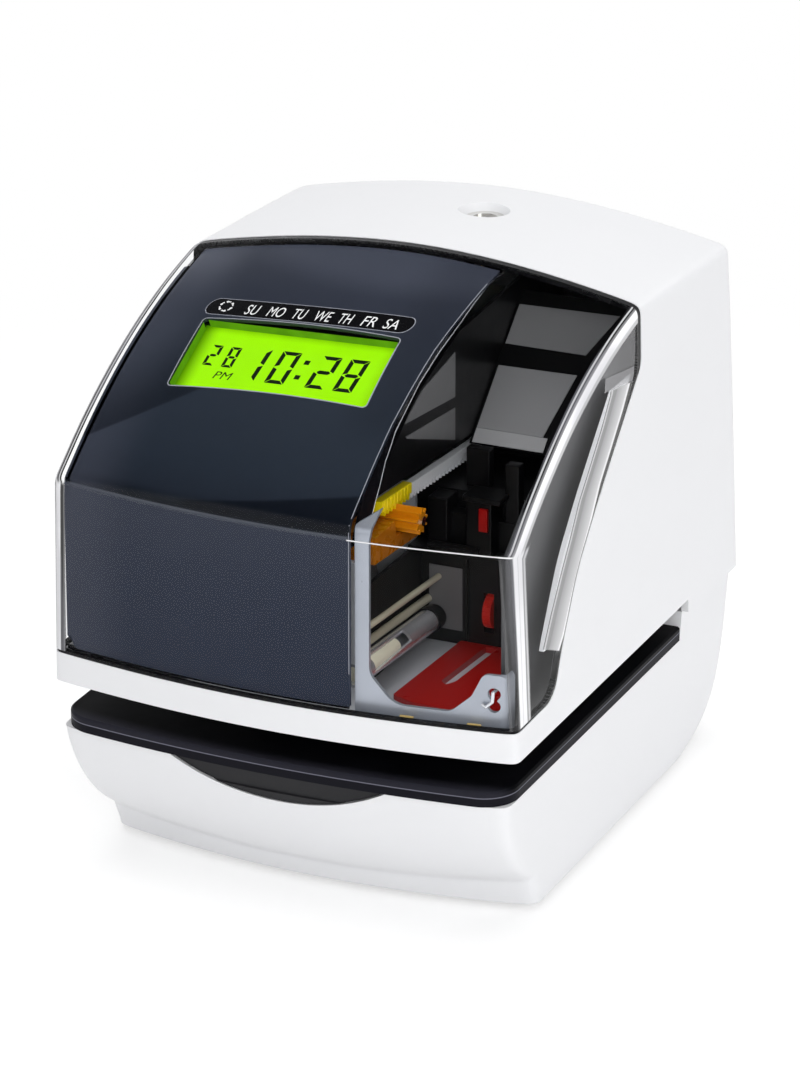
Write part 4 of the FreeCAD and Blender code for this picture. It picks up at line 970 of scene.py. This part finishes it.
def addFloor():
    mesh = bpy.data.meshes.new("floor")
    half = floorLook["size"] / 2
    corners = [(-half, -half, 0), (half, -half, 0), (half, half, 0), (-half, half, 0)]
    mesh.from_pydata([Vector(corner) for corner in corners], [], [(0, 1, 2, 3)])
    floor = bpy.data.objects.new("floor", mesh)
    floor.location.z = -0.0002
    bpy.context.scene.collection.objects.link(floor)
    finish = Finish("floorWhite", {"Base Color": colour(*floorLook["white"]), "Roughness": 0.9,
                                   "Specular IOR Level": 0.1})
    path = finish.node("ShaderNodeLightPath", {}, {}, "Is Camera Ray")
    glossy = Wire(finish, path.socket.node.outputs["Is Glossy Ray"])
    through = Wire(finish, path.socket.node.outputs["Is Transmission Ray"])
    seen = finish.least(path + glossy + through, 1.0)
    glow = finish.node("ShaderNodeEmission", {}, {"Color": colour(1, 1, 1), "Strength": floorLook["glow"]})
    none = finish.node("ShaderNodeEmission", {}, {"Color": colour(0, 0, 0), "Strength": 0.0})
    extra = finish.node("ShaderNodeMixShader", {}, {0: seen, 1: none, 2: glow})
    lit = finish.node("ShaderNodeAddShader", {}, {0: finish.shader, 1: extra})
    away = finish.node("ShaderNodeVectorMath", {"operation": "LENGTH"}, {0: finish.place()}, "Value")
    plain = finish.node("ShaderNodeEmission", {}, {"Color": colour(1, 1, 1), "Strength": 1.0})
    bright = floorLook["least"] + finish.step(away, *floorLook["fade"]) * (1 - floorLook["least"])
    whole = finish.node("ShaderNodeMixShader", {}, {0: seen * bright, 1: lit, 2: plain})
    finish.feed(finish.output.inputs["Surface"], whole)
    mesh.materials.append(finish.block)


studio = {"stops": ((0.0, 0.9), (0.3, 0.7), (0.6, 0.06), (1.0, 0.04)), "blue": 1.02, "strength": 1.0}


def addWorld():
    # pale studio: bright low down, darker overhead
    world = bpy.data.worlds.new("studio")
    world.use_nodes = True
    nodes, links = world.node_tree.nodes, world.node_tree.links
    nodes.clear()
    output = nodes.new("ShaderNodeOutputWorld")
    back = nodes.new("ShaderNodeBackground")
    ramp = nodes.new("ShaderNodeValToRGB")
    split = nodes.new("ShaderNodeSeparateXYZ")
    place = nodes.new("ShaderNodeTexCoord")
    while len(ramp.color_ramp.elements) < len(studio["stops"]):
        ramp.color_ramp.elements.new(0.5)
    for stop, (where, level) in zip(ramp.color_ramp.elements, studio["stops"]):
        stop.position, stop.color = where, (level, level, level * studio["blue"], 1)
    links.new(place.outputs["Generated"], split.inputs[0])
    links.new(split.outputs["Z"], ramp.inputs["Fac"])
    links.new(ramp.outputs["Color"], back.inputs["Color"])
    links.new(back.outputs[0], output.inputs["Surface"])
    back.inputs["Strength"].default_value = studio["strength"]
    bpy.context.scene.world = world


lamps = {
    "overhead": {"at": (-0.1, 0.1, 1.6), "size": (1.6, 1.6), "power": 21.5, "mirrored": False},
    "rightBox": {"at": (1.5, -0.5, 0.7), "size": (0.9, 1.2), "power": 6.0, "mirrored": True},
    "frontBox": {"at": (0.8, -1.6, 1.0), "size": (0.9, 0.7), "power": 11.2, "mirrored": False},
}


def addLamps():
    for name, look in lamps.items():
        light = bpy.data.lights.new(name, "AREA")
        light.shape = "RECTANGLE"
        light.size, light.size_y = look["size"]
        light.energy = look["power"]
        lamp = bpy.data.objects.new(name, light)
        lamp.location = look["at"]
        aim = Vector((0, 0, 0.09)) - Vector(look["at"])
        lamp.rotation_euler = aim.to_track_quat("-Z", "Y").to_euler()
        lamp.visible_glossy = look["mirrored"]
        bpy.context.scene.collection.objects.link(lamp)


cameraLook = {"at": (585.4, -1281.9, 658.9), "right": (0.91003, 0.41453, -0.00300),
              "up": (-0.15411, 0.34502, 0.92586), "back": (0.38483, -0.84210, 0.37786), "lens": 165.02}


def addCamera():
    camera = bpy.data.objects.new("camera", bpy.data.cameras.new("camera"))
    camera.data.lens = cameraLook["lens"]
    camera.data.sensor_width = 36.0
    camera.data.clip_start = 0.05
    turn = Matrix([cameraLook["right"], cameraLook["up"], cameraLook["back"]]).transposed()
    camera.matrix_world = Matrix.Translation(Vector(cameraLook["at"]) * mm) @ turn.to_4x4()
    bpy.context.scene.collection.objects.link(camera)
    bpy.context.scene.camera = camera


addFloor()
addWorld()
addLamps()
addCamera()
bpy.context.scene.view_settings.view_transform = "Standard"
print("stage set")
